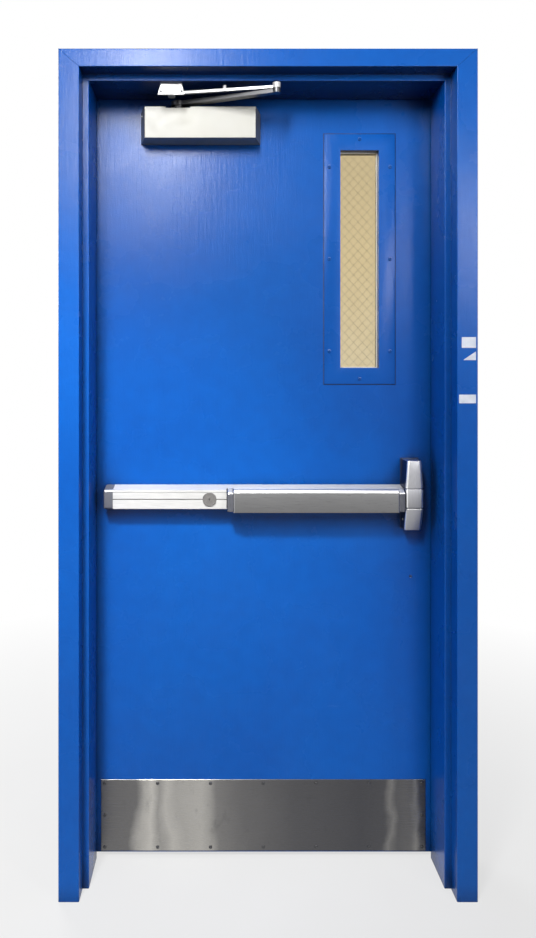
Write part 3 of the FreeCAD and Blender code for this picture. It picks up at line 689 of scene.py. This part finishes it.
def screw_head(name, radius, height):
    """Domed head with a cross recess, standing on the plane Y = 0 and facing -Y."""
    head = disc(name, (0, -height / 2, 0), radius, height, sides=28)
    bevel(head, lambda mid, way: mid.y < -0.9 * height, 0.55 * height, 4)
    wing, slit = 0.62 * radius, 0.13 * radius
    tip, floor = -1.2 * height, -0.45 * height
    across = block(name + "_across", (-wing, tip, -slit), (wing, floor, slit))
    upright = block(name + "_upright", (-slit, tip, -wing), (slit, floor, wing))
    return carve(head, across, upright)


def pad_tongue(name, low, high, test):
    """The guided back of the touch pad or of one of its ends, which runs in the rail."""
    pad_low, pad_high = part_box("push_pad")
    height = (pad_low.z + pad_high.z) / 2
    start = pad_low.y + PAD_NECK - 0.5 * MM
    tongue = block(name, (low.x, start, height - TONGUE_HALF), (high.x, high.y, height + TONGUE_HALF))
    bevel(tongue, test, 1 * MM, 2)
    return tongue


# Steps

class DOOR_OT_finishes(bpy.types.Operator):
    """Give every solid of the door its paint, metal, lacquer or glass"""
    bl_idname = "door.finishes"
    bl_label = "Finishes"

    def execute(self, context):
        metal = looks().metal
        # Painted shade by height: the pad darkens towards its foot, the exit case in a band level with the
        # pad and a little at its foot.
        pad_height_shade = (0.927, 0.992, (0.0, 0.6), (0.25, 0.5), (0.6, 0.35), (0.85, 0.05))
        case_height_shade = (0.878, 1.062, (0.0, 0.2), (0.32, 0.05), (0.34, 0.55), (0.58, 0.0), (1.0, 0.0))
        FINISHES.update({
            "blue_paint": blue_enamel(),
            "bare_plate": grained("primed_plate", (0.30, 0.30, 0.31), 0.6, 240, 0.08 * MM),
            "rubber": grained("silencer_rubber", (0.06, 0.06, 0.062), 0.7, 500, 0.05 * MM),
            "hinge_steel": brushed("hinge_steel", (0.42, 0.42, 0.41), "Z", 0.34),
            "wired_glass": wired_glass(),
            "kick_steel": kick_steel(),
            "rail_aluminium": brushed("rail_aluminium", metal.rail, "X", 0.42, 0.3 * MM, metal=0.2),
            "cap_plastic": grained("moulded_cap", metal.cap, 0.42, 900, 0.04 * MM),
            "plug_chrome": grained("dull_plate", (0.168, 0.161, 0.154), 0.45, 420, 0.2 * MM),
            "pad_steel": brushed("pad_steel", metal.pad, "X", 0.33, 1.4 * MM, grit=0.08, height_shade=pad_height_shade),
            "case_steel": brushed("case_steel", metal.case, "Z", 0.34, height_shade=case_height_shade),
            # Pale steel for painted highlights on edges and tops that face the light.
            "highlight_edge": brushed("steel_highlight_edge", (0.86, 0.86, 0.86), "Z", 0.38),
            # The closer's cover takes painted shade on its ends too.
            "closer_lacquer": lacquered("closer_lacquer", metal.lacquer, (0.57, 0.56, 0.495),
                                        0.45, 1.0 * MM, 0.0, 0.85),
            "closer_iron": grained("closer_casting", (0.10, 0.10, 0.105), 0.55, 300, 0.2 * MM),
            "arm_lacquer": lacquered("arm_lacquer", metal.arm, (0.66, 0.66, 0.65), 0.32, 1.2 * MM, 0.25),
            "dark_arm": brushed("dark_arm_steel", (0.13, 0.13, 0.135), "X", 0.36, 1.2 * MM),
            "dark_side": brushed("dark_case_side", (0.10, 0.10, 0.105), "Z", 0.36),
            "shaded_side": brushed("shaded_case_side", (0.055, 0.07, 0.125), "Z", 0.36),
            "paint_joint": grained("paint_joint", (0.001, 0.014, 0.085), 0.5, 300, 0.1 * MM),
            # Light blue for painted highlights on painted pieces.
            "paint_highlight": grained("paint_highlight", (0.34, 0.46, 0.74), 0.4, 300, 0.1 * MM),
        })
        for part in frame["record"]["subparts"]:
            node = frame["nodes"][part["node"]]
            node.data.materials.clear()
            node.data.materials.append(FINISHES[SHADED.get(part["node"], part["material_slot"])])
        return {"FINISHED"}


class DOOR_OT_lite_wires(bpy.types.Operator):
    """Wire mesh in the glass"""
    bl_idname = "door.lite_wires"
    bl_label = "Wires in the glass"

    def execute(self, context):
        sizes = looks().sizes
        low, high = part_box("lite_glass")
        cells = 34
        clear_selection()
        bpy.ops.mesh.primitive_grid_add(
            x_subdivisions=cells, y_subdivisions=cells, size=cells * sizes.mesh_width / math.sqrt(2),
            location=(low + high) / 2, rotation=(math.pi / 2, math.pi / 4, 0))
        bpy.ops.object.transform_apply(location=False, rotation=True, scale=False)
        bpy.context.object.scale = (1, 1, sizes.mesh_height / sizes.mesh_width)
        wires = named("lite_wires")
        margin = Vector((4 * MM, 0, 4 * MM))
        for corner, way in ((low + margin, (-1, 0, 0)), (high - margin, (1, 0, 0)),
                            (low + margin, (0, 0, -1)), (high - margin, (0, 0, 1))):
            pick_all(wires)
            bpy.ops.mesh.bisect(plane_co=corner, plane_no=way, clear_outer=True)
            shaped()
        applied(wires, "WIREFRAME", thickness=sizes.wire, use_even_offset=False)
        settle(wires, "door_leaf", "wired_glass", glass_wire())
        return {"FINISHED"}


class DOOR_OT_glazing_tape(bpy.types.Operator):
    """Pale tape round the glass on both sides"""
    bl_idname = "door.glazing_tape"
    bl_label = "Glazing tape"

    def execute(self, context):
        low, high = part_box("lite_glass")
        pale = grained("glazing_tape", (0.80, 0.78, 0.73), 0.5, 600, 0.04 * MM)
        thick, rim = 2.2 * MM, 2.6 * MM
        for side, face, out in (("push", low.y, -1), ("pull", high.y, 1)):
            near, far = sorted((face, face + out * thick))
            tape = ring("glazing_tape_" + side, (low.x + LITE_LIP, near, low.z + LITE_LIP),
                        (high.x - LITE_LIP, far, high.z - LITE_LIP), rim)
            bevel(tape, lambda mid, way: abs(mid.y - face) > 1.5 * MM, 0.7 * MM, 2)
            settle(tape, "door_leaf", "rubber", pale)
        return {"FINISHED"}


class DOOR_OT_lite_border(bpy.types.Operator):
    """Border of the vision lite on the push side, with the dark joint in the paint round it"""
    bl_idname = "door.lite_border"
    bl_label = "Lite border"

    def execute(self, context):
        glass_low, glass_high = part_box("lite_glass")
        low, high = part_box("lite_frame_push")
        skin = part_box("push_side_skin")[0].y
        front = low.y
        middle = (low + high) / 2
        border = block("lite_border", low, (high.x, skin, high.z))
        bevel(border, before(front), 2.6 * MM, 2)
        sleeve = block("lite_sleeve", (glass_low.x, skin - 1 * MM, glass_low.z),
                       (glass_high.x, high.y, glass_high.z))
        for length in (border, sleeve):
            opening = block("lite_opening", (glass_low.x + LITE_LIP, front - PAST, glass_low.z + LITE_LIP),
                            (glass_high.x - LITE_LIP, high.y + PAST, glass_high.z - LITE_LIP))
            carve(length, opening)
        half_width, half_height = 70 * MM, 300 * MM
        bevel(border, lambda mid, way: mid.y < front + NEAR and abs(mid.x - middle.x) < half_width
              and abs(mid.z - middle.z) < half_height, 1.2 * MM, 3)
        border = joined("lite_border", [border, sleeve])
        settle(border, "door_leaf", "blue_paint")
        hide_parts("lite_frame_push")

        half, raised = 1.7 * MM, skin - 0.3 * MM
        joint = ring("lite_joint", (low.x - half, raised, low.z - half),
                     (high.x + half, skin, high.z + half), 2 * half)
        bevel(joint, before(raised), 0.12 * MM, 2)
        settle(joint, "door_leaf", "blue_paint", FINISHES["paint_joint"])
        return {"FINISHED"}


class DOOR_OT_lite_screws(bpy.types.Operator):
    """Painted screws in the lite frame, with a painted highlight on their upper sides"""
    bl_idname = "door.lite_screws"
    bl_label = "Lite screws"

    def execute(self, context):
        low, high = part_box("lite_frame_push")
        middle = (low + high) / 2
        edge, end = 14 * MM, 88 * MM
        places = [Vector((x, low.y, z)) for x in (low.x + edge, high.x - edge)
                  for z in (low.z + end, middle.z, high.z - end)]
        places += [Vector((middle.x, low.y, z)) for z in (low.z + edge, high.z - edge)]
        screw = screw_head("lite_screw", looks().sizes.lite_screw, 2.4 * MM)
        screws = repeated("lite_screws", screw, places)
        settle(screws, "door_leaf", "blue_paint")
        refinish(screws, "paint_highlight", lambda n: n.y < -0.2 and n.z > 0.3)
        return {"FINISHED"}


class DOOR_OT_kick_screws(bpy.types.Operator):
    """Oval head screws round the kick plate"""
    bl_idname = "door.kick_screws"
    bl_label = "Kick plate screws"

    def execute(self, context):
        sizes = looks().sizes
        low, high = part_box("kick_plate")
        edge = 10 * MM
        step = (high.x - low.x - 2 * edge) / (sizes.kick_screws - 1)
        along = [low.x + edge + step * i for i in range(sizes.kick_screws)]
        places = [Vector((x, low.y, z)) for x in along for z in (low.z + edge, high.z - edge)]
        places += [Vector((x, low.y, (low.z + high.z) / 2)) for x in (low.x + edge, high.x - edge)]
        screws = repeated("kick_plate_screws", screw_head("kick_screw", sizes.kick_screw, 1.8 * MM), places)
        settle(screws, "door_leaf", "kick_steel", FINISHES["dark_side"])
        return {"FINISHED"}


class DOOR_OT_leaf_plug(bpy.types.Operator):
    """Plug in an old fixing hole of the leaf, below the exit case"""
    bl_idname = "door.leaf_plug"
    bl_label = "Leaf plug"

    def execute(self, context):
        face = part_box("push_side_skin")[0].y
        across, up, thick = 0.8642, 0.747, 1.2 * MM
        plug = disc("leaf_plug", (across, face - thick / 2, up), 4.2 * MM, thick, sides=28)
        bevel(plug, lambda mid, way: mid.y < face - 1 * MM, 0.9 * MM, 3)
        pick(plug, "FACE", lambda mid, normal: normal.y < -0.9)
        bpy.ops.mesh.inset(thickness=1.4 * MM)
        bpy.ops.transform.translate(value=(0, 0.7 * MM, 0))
        shaped()
        settle(plug, "door_leaf", "blue_paint", FINISHES["paint_joint"])
        # Painted highlight on the plug's upper side.
        refinish(plug, "paint_highlight", lambda n: n.y < -0.2 and n.z > 0.2 and n.x > -0.5)
        return {"FINISHED"}


class DOOR_OT_exit_case(bpy.types.Operator):
    """Exit case in three rounded lengths over a core, with its side screw"""
    bl_idname = "door.exit_case"
    bl_label = "Exit case"

    def execute(self, context):
        low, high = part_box("exit_case_cover")
        middle, back = (low.x + high.x) / 2, high.y
        lower_seam, upper_seam, gap = 0.939, 0.989, 1.2 * MM
        shrinks = {"lower": (45 / 46.5, 39 / 60, 1), "upper": (37.5 / 46.5, 57 / 60, 1)}
        lengths = {"lower": (low.z, lower_seam - gap), "band": (lower_seam + gap, upper_seam - gap),
                   "upper": (upper_seam + gap, high.z)}

        def corner(mid, way):
            return abs(way.z) > 0.9 and mid.y < back - 20 * MM

        made = []
        for name, rims in lengths.items():
            length = block("case_" + name, (low.x, low.y, rims[0]), (high.x, back, rims[1]))
            if name in shrinks:
                end = rims[0] if name == "lower" else rims[1]
                taper(length, lambda co: abs(co.z - end) < NEAR, shrinks[name], (middle, back, end))
            bevel(length, corner, looks().sizes.case_round, 5)
            bevel(length, lambda mid, way: min(abs(mid.z - z) for z in rims) < NEAR and mid.y < back - NEAR,
                  1.1 * MM if name == "band" else 2.4 * MM, 3)
            made.append(length)
        inset, reach = 2.2 * MM, 8 * MM
        core = block("case_core", (low.x + inset, low.y + inset, lower_seam - reach),
                     (high.x - inset, back, upper_seam + reach))
        taper(core, lambda co: co.z < lower_seam, (0.98, 0.88, 1), (middle, back, lower_seam))
        bevel(core, corner, 5 * MM, 3)
        case = joined("exit_case", made + [core])
        settle(case, "door_leaf", "case_steel")
        # Painted highlight on the faces that look forward and up and on the upper left edges, and painted
        # shade on the left side.
        refinish(case, "highlight_edge",
                 lambda n: -0.93 < n.y < -0.2 and n.z > -0.3 or n.z > 0.3 and n.x < -0.3)
        refinish(case, "shaded_side", lambda n: n.x < -0.9)
        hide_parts("exit_case_cover")

        screw, level = screw_head("case_screw", 3.4 * MM, 1.6 * MM), 0.905
        place = Matrix.Translation((low.x + 1.4 * MM, back - 24 * MM, level))
        side = repeated("case_side_screw", screw, [place @ Matrix.Rotation(-math.pi / 2, 4, "Z")])
        settle(side, "door_leaf", "case_steel", FINISHES["hinge_steel"])
        return {"FINISHED"}


class DOOR_OT_touch_pad(bpy.types.Operator):
    """Touch pad of the exit device and its two moulded ends"""
    bl_idname = "door.touch_pad"
    bl_label = "Touch pad"

    def execute(self, context):
        low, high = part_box("push_pad")
        front, neck = low.y, low.y + PAD_NECK
        sides, top = (low.x, high.x), low.z + 50 * MM
        pad = block("pad_head", low, (high.x, neck, high.z))
        taper(pad, before(front), (1, 1, 58.5 / 65), (low.x, front, low.z + 15 * MM))
        bevel(pad, lambda mid, way: mid.y < front + NEAR and mid.z > top, 9 * MM, 8)
        bevel(pad, lambda mid, way: min(abs(mid.x - x) for x in sides) < NEAR and mid.y < front + 8 * MM,
              2.4 * MM, 4)
        pad = joined("touch_pad", [pad, pad_tongue("pad_tongue", low, high, runs_along("x"))])
        settle(pad, "push_pad", "pad_steel")
        # Painted highlight on the front top bevel and the rounded ends, and the bright rail aluminium on the
        # faces on top as a painted highlight.
        refinish(pad, "highlight_edge", lambda n: -0.97 < n.y < -0.35 and (n.z > 0.2 or abs(n.x) > 0.2))
        refinish(pad, "rail_aluminium", lambda n: n.y >= -0.35 and n.z > 0.8)
        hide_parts("push_pad")

        for side in ("left", "right"):
            node = f"push_pad_{side}_cap"
            low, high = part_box(node)
            front, back = low.y, high.y
            head = block(node + "_head", low, (high.x, neck, high.z))
            taper(head, before(front), (1, 1, 48 / 63), (low.x, front, low.z + 8 * MM))
            bevel(head, lambda mid, way: mid.y < neck - 4 * MM, 3.6 * MM, 5)
            ridges = [block("ridge", (low.x + step, front - 1 * MM, low.z),
                            (low.x + step + 1.1 * MM, front + 0.8 * MM, high.z))
                      for step in (4.6 * MM, 7.4 * MM, 10.2 * MM)]
            carve(head, *ridges)
            tongue = pad_tongue(node + "_tongue", low, high, lambda mid, way: mid.y > back - NEAR)
            cap = joined(node + "_moulding", [head, tongue])
            settle(cap, "push_pad", "cap_plastic")
            # Painted highlight on the dome at the top of the moulded end.
            refinish(cap, "highlight_edge", lambda n: n.y < -0.4 and 0.25 < n.z < 0.93)
            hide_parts(node)
        return {"FINISHED"}


class DOOR_OT_rail_fittings(bpy.types.Operator):
    """Dark strips in the rail's grooves as painted shade, and the moulded end of the rail"""
    bl_idname = "door.rail_fittings"
    bl_label = "Rail fittings"

    def execute(self, context):
        pad_low, pad_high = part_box("push_pad")
        height = (pad_low.z + pad_high.z) / 2
        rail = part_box("exit_rail")[0]
        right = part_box("push_pad_left_cap")[0].x - 2 * MM
        face, bottom = rail.y + 0.3 * MM, rail.y + 1.2 * MM
        # Dark strips stand in for the shade inside the rail's grooves.
        dark = grained("groove_shade_strip", (0.07, 0.068, 0.065), 0.6, 700, 0.04 * MM)
        for name, rise, width in (("lower", 0, 2.4 * MM), ("upper", 17.7 * MM, 1.0 * MM)):
            level = height + rise
            strip = block(f"rail_{name}_groove_shade_strip", (rail.x, face, level - width / 2),
                          (right, bottom, level + width / 2))
            bevel(strip, lambda mid, way: abs(way.x) > 0.9 and mid.y < face + NEAR, 0.2 * MM, 2)
            settle(strip, "door_leaf", "rubber", dark)

        low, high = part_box("exit_rail_end_cap")
        left, front, back = low.x, low.y, high.y
        end = block("rail_end_moulding", low, high)
        taper(end, before(front), (1, 1, 49 / 66), (left, front, height))
        bevel(end, lambda mid, way: mid.x < left + NEAR and mid.y < back - NEAR, 5 * MM, 5)
        bevel(end, lambda mid, way: abs(way.x) > 0.9 and mid.y < front + 4 * MM, 5.5 * MM, 5)
        settle(end, "door_leaf", "cap_plastic")
        # Painted highlight on the rounded upper front of the rail's moulded end.
        refinish(end, "highlight_edge", lambda n: n.y < -0.3 and 0.25 < n.z < 0.95 and n.x > -0.8)
        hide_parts("exit_rail_end_cap")
        return {"FINISHED"}


class DOOR_OT_dogging_plug(bpy.types.Operator):
    """Round plug with a key slot in the rail"""
    bl_idname = "door.dogging_plug"
    bl_label = "Dogging plug"

    def execute(self, context):
        low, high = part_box("dogging_plug")
        centre = (low + high) / 2
        front = low.y
        plug = disc("dogging_key_plug", centre, (high.x - low.x) / 2, high.y - front, sides=64)
        bevel(plug, before(front), 1.3 * MM, 4)
        pick(plug, "FACE", lambda mid, normal: normal.y < -0.99)
        for rim, depth in ((1.6 * MM, 0.7 * MM), (8.5 * MM, -0.5 * MM)):
            bpy.ops.mesh.inset(thickness=rim)
            bpy.ops.mesh.extrude_region_move(TRANSFORM_OT_translate={"value": (0, depth, 0)})
        shaped()
        half_width, half_height = 0.9 * MM, 4 * MM
        slot = block("key_slot", (centre.x - half_width, front - 2 * MM, centre.z - half_height),
                     (centre.x + half_width, front + 4 * MM, centre.z + half_height))
        bevel(slot, runs_along("y"), 0.6 * MM, 2)
        carve(plug, slot)
        settle(plug, "door_leaf", "plug_chrome")
        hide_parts("dogging_plug")
        return {"FINISHED"}


class DOOR_OT_closer_fittings(bpy.types.Operator):
    """Screws in the closer's shoe, clamp screw on the arm and valve screw at the end of the cover"""
    bl_idname = "door.closer_fittings"
    bl_label = "Closer fittings"

    def execute(self, context):
        low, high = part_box("closer_shoe")
        middle = (low.x + high.x) / 2
        places = [Vector((middle + side * 26 * MM, low.y, low.z + 7.5 * MM)) for side in (-1, 1)]
        screws = repeated("shoe_screws", screw_head("shoe_screw", 3.6 * MM, 1.5 * MM), places)
        settle(screws, "frame", "arm_lacquer", FINISHES["dark_side"])

        low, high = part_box("closer_spindle")
        hub = (low + high) / 2
        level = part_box("closer_main_arm")[0].z + 5 * MM
        length = 4.4 * MM
        clamp = disc("arm_clamp_screw", (0, -length / 2, 0), 3.6 * MM, length, sides=24)
        bevel(clamp, lambda mid, way: mid.y < -4.2 * MM, 0.7 * MM, 3)
        carve(clamp, disc("clamp_socket", (0, -length, 0), 1.9 * MM, 3 * MM, sides=6))
        turn = Matrix.Rotation(math.radians(48), 4, "Z")
        out = Matrix.Translation((0, -18.6 * MM, 0))
        place = Matrix.Translation((hub.x, hub.y, level)) @ turn @ out
        clamp = repeated("arm_clamp_screw", clamp, [place])
        settle(clamp, "closer_main_arm", "arm_lacquer")

        low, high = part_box("closer_cover")
        left, length = low.x + 2.5 * MM, 7 * MM
        centre = (left + length / 2, high.y - 18 * MM, high.z - 13 * MM)
        valve = disc("closer_valve_screw", centre, 3.2 * MM, length, "X", 24)
        bevel(valve, lambda mid, way: mid.x < left + NEAR, 0.8 * MM, 3)
        settle(valve, "door_leaf", "arm_lacquer")
        return {"FINISHED"}


class DOOR_OT_mitre_plates(bpy.types.Operator):
    """Plates behind the mitred corners of the frame, which close the joint to light"""
    bl_idname = "door.mitre_plates"
    bl_label = "Mitre plates"

    def execute(self, context):
        hinge_low, hinge_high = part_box("hinge_jamb")
        strike_low, strike_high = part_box("strike_jamb")
        head_low, head_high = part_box("frame_head")
        stop, thick = 15.9 * MM, 1.2 * MM
        face_depth = hinge_high.y - 0.4 * MM
        stop_depth = face_depth - 49 * MM
        for side, outer, inner, sign in (("hinge", hinge_low.x, hinge_high.x, 1),
                                         ("strike", strike_high.x, strike_low.x, -1)):
            outside = Vector((outer, 0, head_high.z))
            rabbet = Vector((inner - sign * stop, 0, head_low.z + stop))
            inside = Vector((inner, 0, head_low.z))
            made = []
            for start, end, reach in ((outside, rabbet, face_depth),
                                      (rabbet.lerp(outside, 0.04), inside, stop_depth)):
                run = end - start
                half = run.length / 2 - 0.5 * MM
                plate = block(f"{side}_plate", (-half, -reach, -thick / 2), (half, reach, thick / 2))
                bevel(plate, runs_along("y"), 0.3 * MM, 2)
                turn = Matrix.Rotation(-math.atan2(run.z, run.x), 4, "Y")
                place = Matrix.Translation((start + end) / 2) @ turn
                made.append(repeated(f"{side}_plate", plate, [place]))
            settle(joined(f"{side}_mitre_plates", made), "frame", "blue_paint")
        return {"FINISHED"}


class DOOR_OT_hinge_tips(bpy.types.Operator):
    """Domed tips at both ends of the hinge pins"""
    bl_idname = "door.hinge_tips"
    bl_label = "Hinge tips"

    def execute(self, context):
        rise, inset = 3.6 * MM, 7 * MM
        tip = disc("hinge_tip", (0, 0, rise / 2), 6.6 * MM, rise, "Z", 32)
        bevel(tip, lambda mid, way: mid.z > rise - NEAR, 2.6 * MM, 5)
        pick(tip, "FACE", lambda mid, normal: normal.z > 0.99)
        bpy.ops.mesh.inset(thickness=1.2 * MM)
        bpy.ops.transform.translate(value=(0, 0, -0.4 * MM))
        shaped()
        places = []
        for level in ("bottom", "middle", "top"):
            low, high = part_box(f"{level}_hinge_frame_leaf")
            axis = (high.x - inset, high.y - inset)
            places += [Matrix.Translation((*axis, high.z)),
                       Matrix.Translation((*axis, low.z)) @ Matrix.Rotation(math.pi, 4, "X")]
        settle(repeated("hinge_pin_tips", tip, places), "frame", "hinge_steel")
        return {"FINISHED"}


class DOOR_OT_jamb_tags(bpy.types.Operator):
    """Blank paper tags on the strike jamb, one of them torn"""
    bl_idname = "door.jamb_tags"
    bl_label = "Blank tags"

    def execute(self, context):
        paper = tag_paper()
        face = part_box("strike_jamb")[0].y
        thick = 0.35 * MM
        for name, (x0, x1, z0, z1) in TAG_EDGES.items():
            tag = block(name, (x0, face - thick, z0), (x1, face, z1))
            pick_all(tag)
            bpy.ops.mesh.subdivide(number_cuts=5)
            if name == "jamb_tag_torn":
                bpy.ops.mesh.select_all(action="SELECT")
                bpy.ops.mesh.bisect(plane_co=((x0 + x1) / 2, face, (z0 + z1) / 2), plane_no=(-0.55, 0, 0.83),
                                    clear_outer=True, use_fill=True)
            shaped()
            pick(tag, "VERT", lambda co: co.x < x0 + 6 * MM and co.z < z0 + 5 * MM)
            bpy.ops.transform.translate(value=(0, -0.5 * MM, 0))
            shaped()
            settle(tag, "frame", "closer_lacquer", paper)
        return {"FINISHED"}


def add_lamp(name, kind, place, target, power):
    """A lamp at a place, turned to a target."""
    clear_selection()
    aim = (Vector(target) - Vector(place)).to_track_quat("-Z", "Y").to_euler()
    bpy.ops.object.light_add(type=kind, location=place, rotation=aim)
    lamp = bpy.context.object
    lamp.name = name
    lamp.data.energy = power
    return lamp.data


class DOOR_OT_stage(bpy.types.Operator):
    """Pale floor, soft studio light and the camera"""
    bl_idname = "door.stage"
    bl_label = "Stage"

    def execute(self, context):
        stage = looks().stage
        scene = context.scene
        scene.view_settings.view_transform = "Standard"
        clear_selection()
        bpy.ops.object.camera_add(location=stage.eye, rotation=(math.pi / 2, 0, 0))
        camera = bpy.context.object
        camera.name = "photo_camera"
        camera.data.lens = stage.lens
        camera.data.shift_x, camera.data.shift_y = stage.shift_x, stage.shift_y
        scene.camera = camera

        leaf_middle, leaf_foot = (DOOR_MIDDLE, 0.05, 1.1), (0.14, 0.07, 0.47)
        for name, place, width, tall, power in (
                ("key_lamp", (-1.15, -5.5, 3.4), 0.9, 1, stage.key),
                ("glare_lamp", (0.03, -1.7, 2.54), 0.28, 2.9, stage.glare),
                ("side_lamp", (1.58, -1.75, 1.95), 0.24, 2.4, stage.side),
                ("fill_lamp", (2.3, -2.0, 1.9), 0.5, 1, stage.fill),
                ("back_lamp", (-1.6, 3.4, 2.6), 2.0, 1, stage.back)):
            lamp = add_lamp(name, "AREA", place, leaf_middle, power)
            lamp.shape = "RECTANGLE"
            lamp.size, lamp.size_y = width, width * tall
        spot = add_lamp("lower_spot", "SPOT", (-0.25, -1.75, 2.9), leaf_foot, stage.spot)
        spot.spot_size = math.radians(37)
        spot.spot_blend = 0.9
        spot.shadow_soft_size = 0.14

        scene.world = pale_surroundings(stage.ambient)
        clear_selection()
        bpy.ops.mesh.primitive_circle_add(
            vertices=64, radius=14, fill_type="NGON", location=(DOOR_MIDDLE, 0, -0.5 * MM))
        floor = named("pale_floor")
        floor.data.materials.append(floor_finish())
        return {"FINISHED"}


# Add-on

OPERATORS = (
    DOOR_OT_finishes, DOOR_OT_lite_wires, DOOR_OT_glazing_tape, DOOR_OT_lite_border, DOOR_OT_lite_screws,
    DOOR_OT_kick_screws, DOOR_OT_leaf_plug, DOOR_OT_exit_case, DOOR_OT_touch_pad, DOOR_OT_rail_fittings,
    DOOR_OT_dogging_plug, DOOR_OT_closer_fittings, DOOR_OT_mitre_plates, DOOR_OT_hinge_tips,
    DOOR_OT_jamb_tags, DOOR_OT_stage)


class DOOR_PT_panel(bpy.types.Panel):
    """Steps and values of the door's finish"""
    bl_idname = "DOOR_PT_panel"
    bl_label = "Steel utility door"
    bl_space_type = "VIEW_3D"
    bl_region_type = "UI"
    bl_category = "Door"

    def draw(self, context):
        column = self.layout.column()
        for operator in OPERATORS:
            column.operator(operator.bl_idname)
        values = context.scene.door_looks
        for group in (values.paint, values.metal, values.sizes, values.stage):
            for name in group.__annotations__:
                column.prop(group, name)


CLASSES = (PaintLooks, MetalLooks, FittingSizes, StageLooks, DoorLooks) + OPERATORS + (DOOR_PT_panel,)


def register():
    for item in CLASSES:
        bpy.utils.register_class(item)
    bpy.types.Scene.door_looks = PointerProperty(type=DoorLooks)


def unregister():
    del bpy.types.Scene.door_looks
    for item in reversed(CLASSES):
        bpy.utils.unregister_class(item)


def main():
    register()
    for operator in OPERATORS:
        group, name = operator.bl_idname.split(".")
        getattr(getattr(bpy.ops, group), name)()


if __name__ == "__main__":
    main()
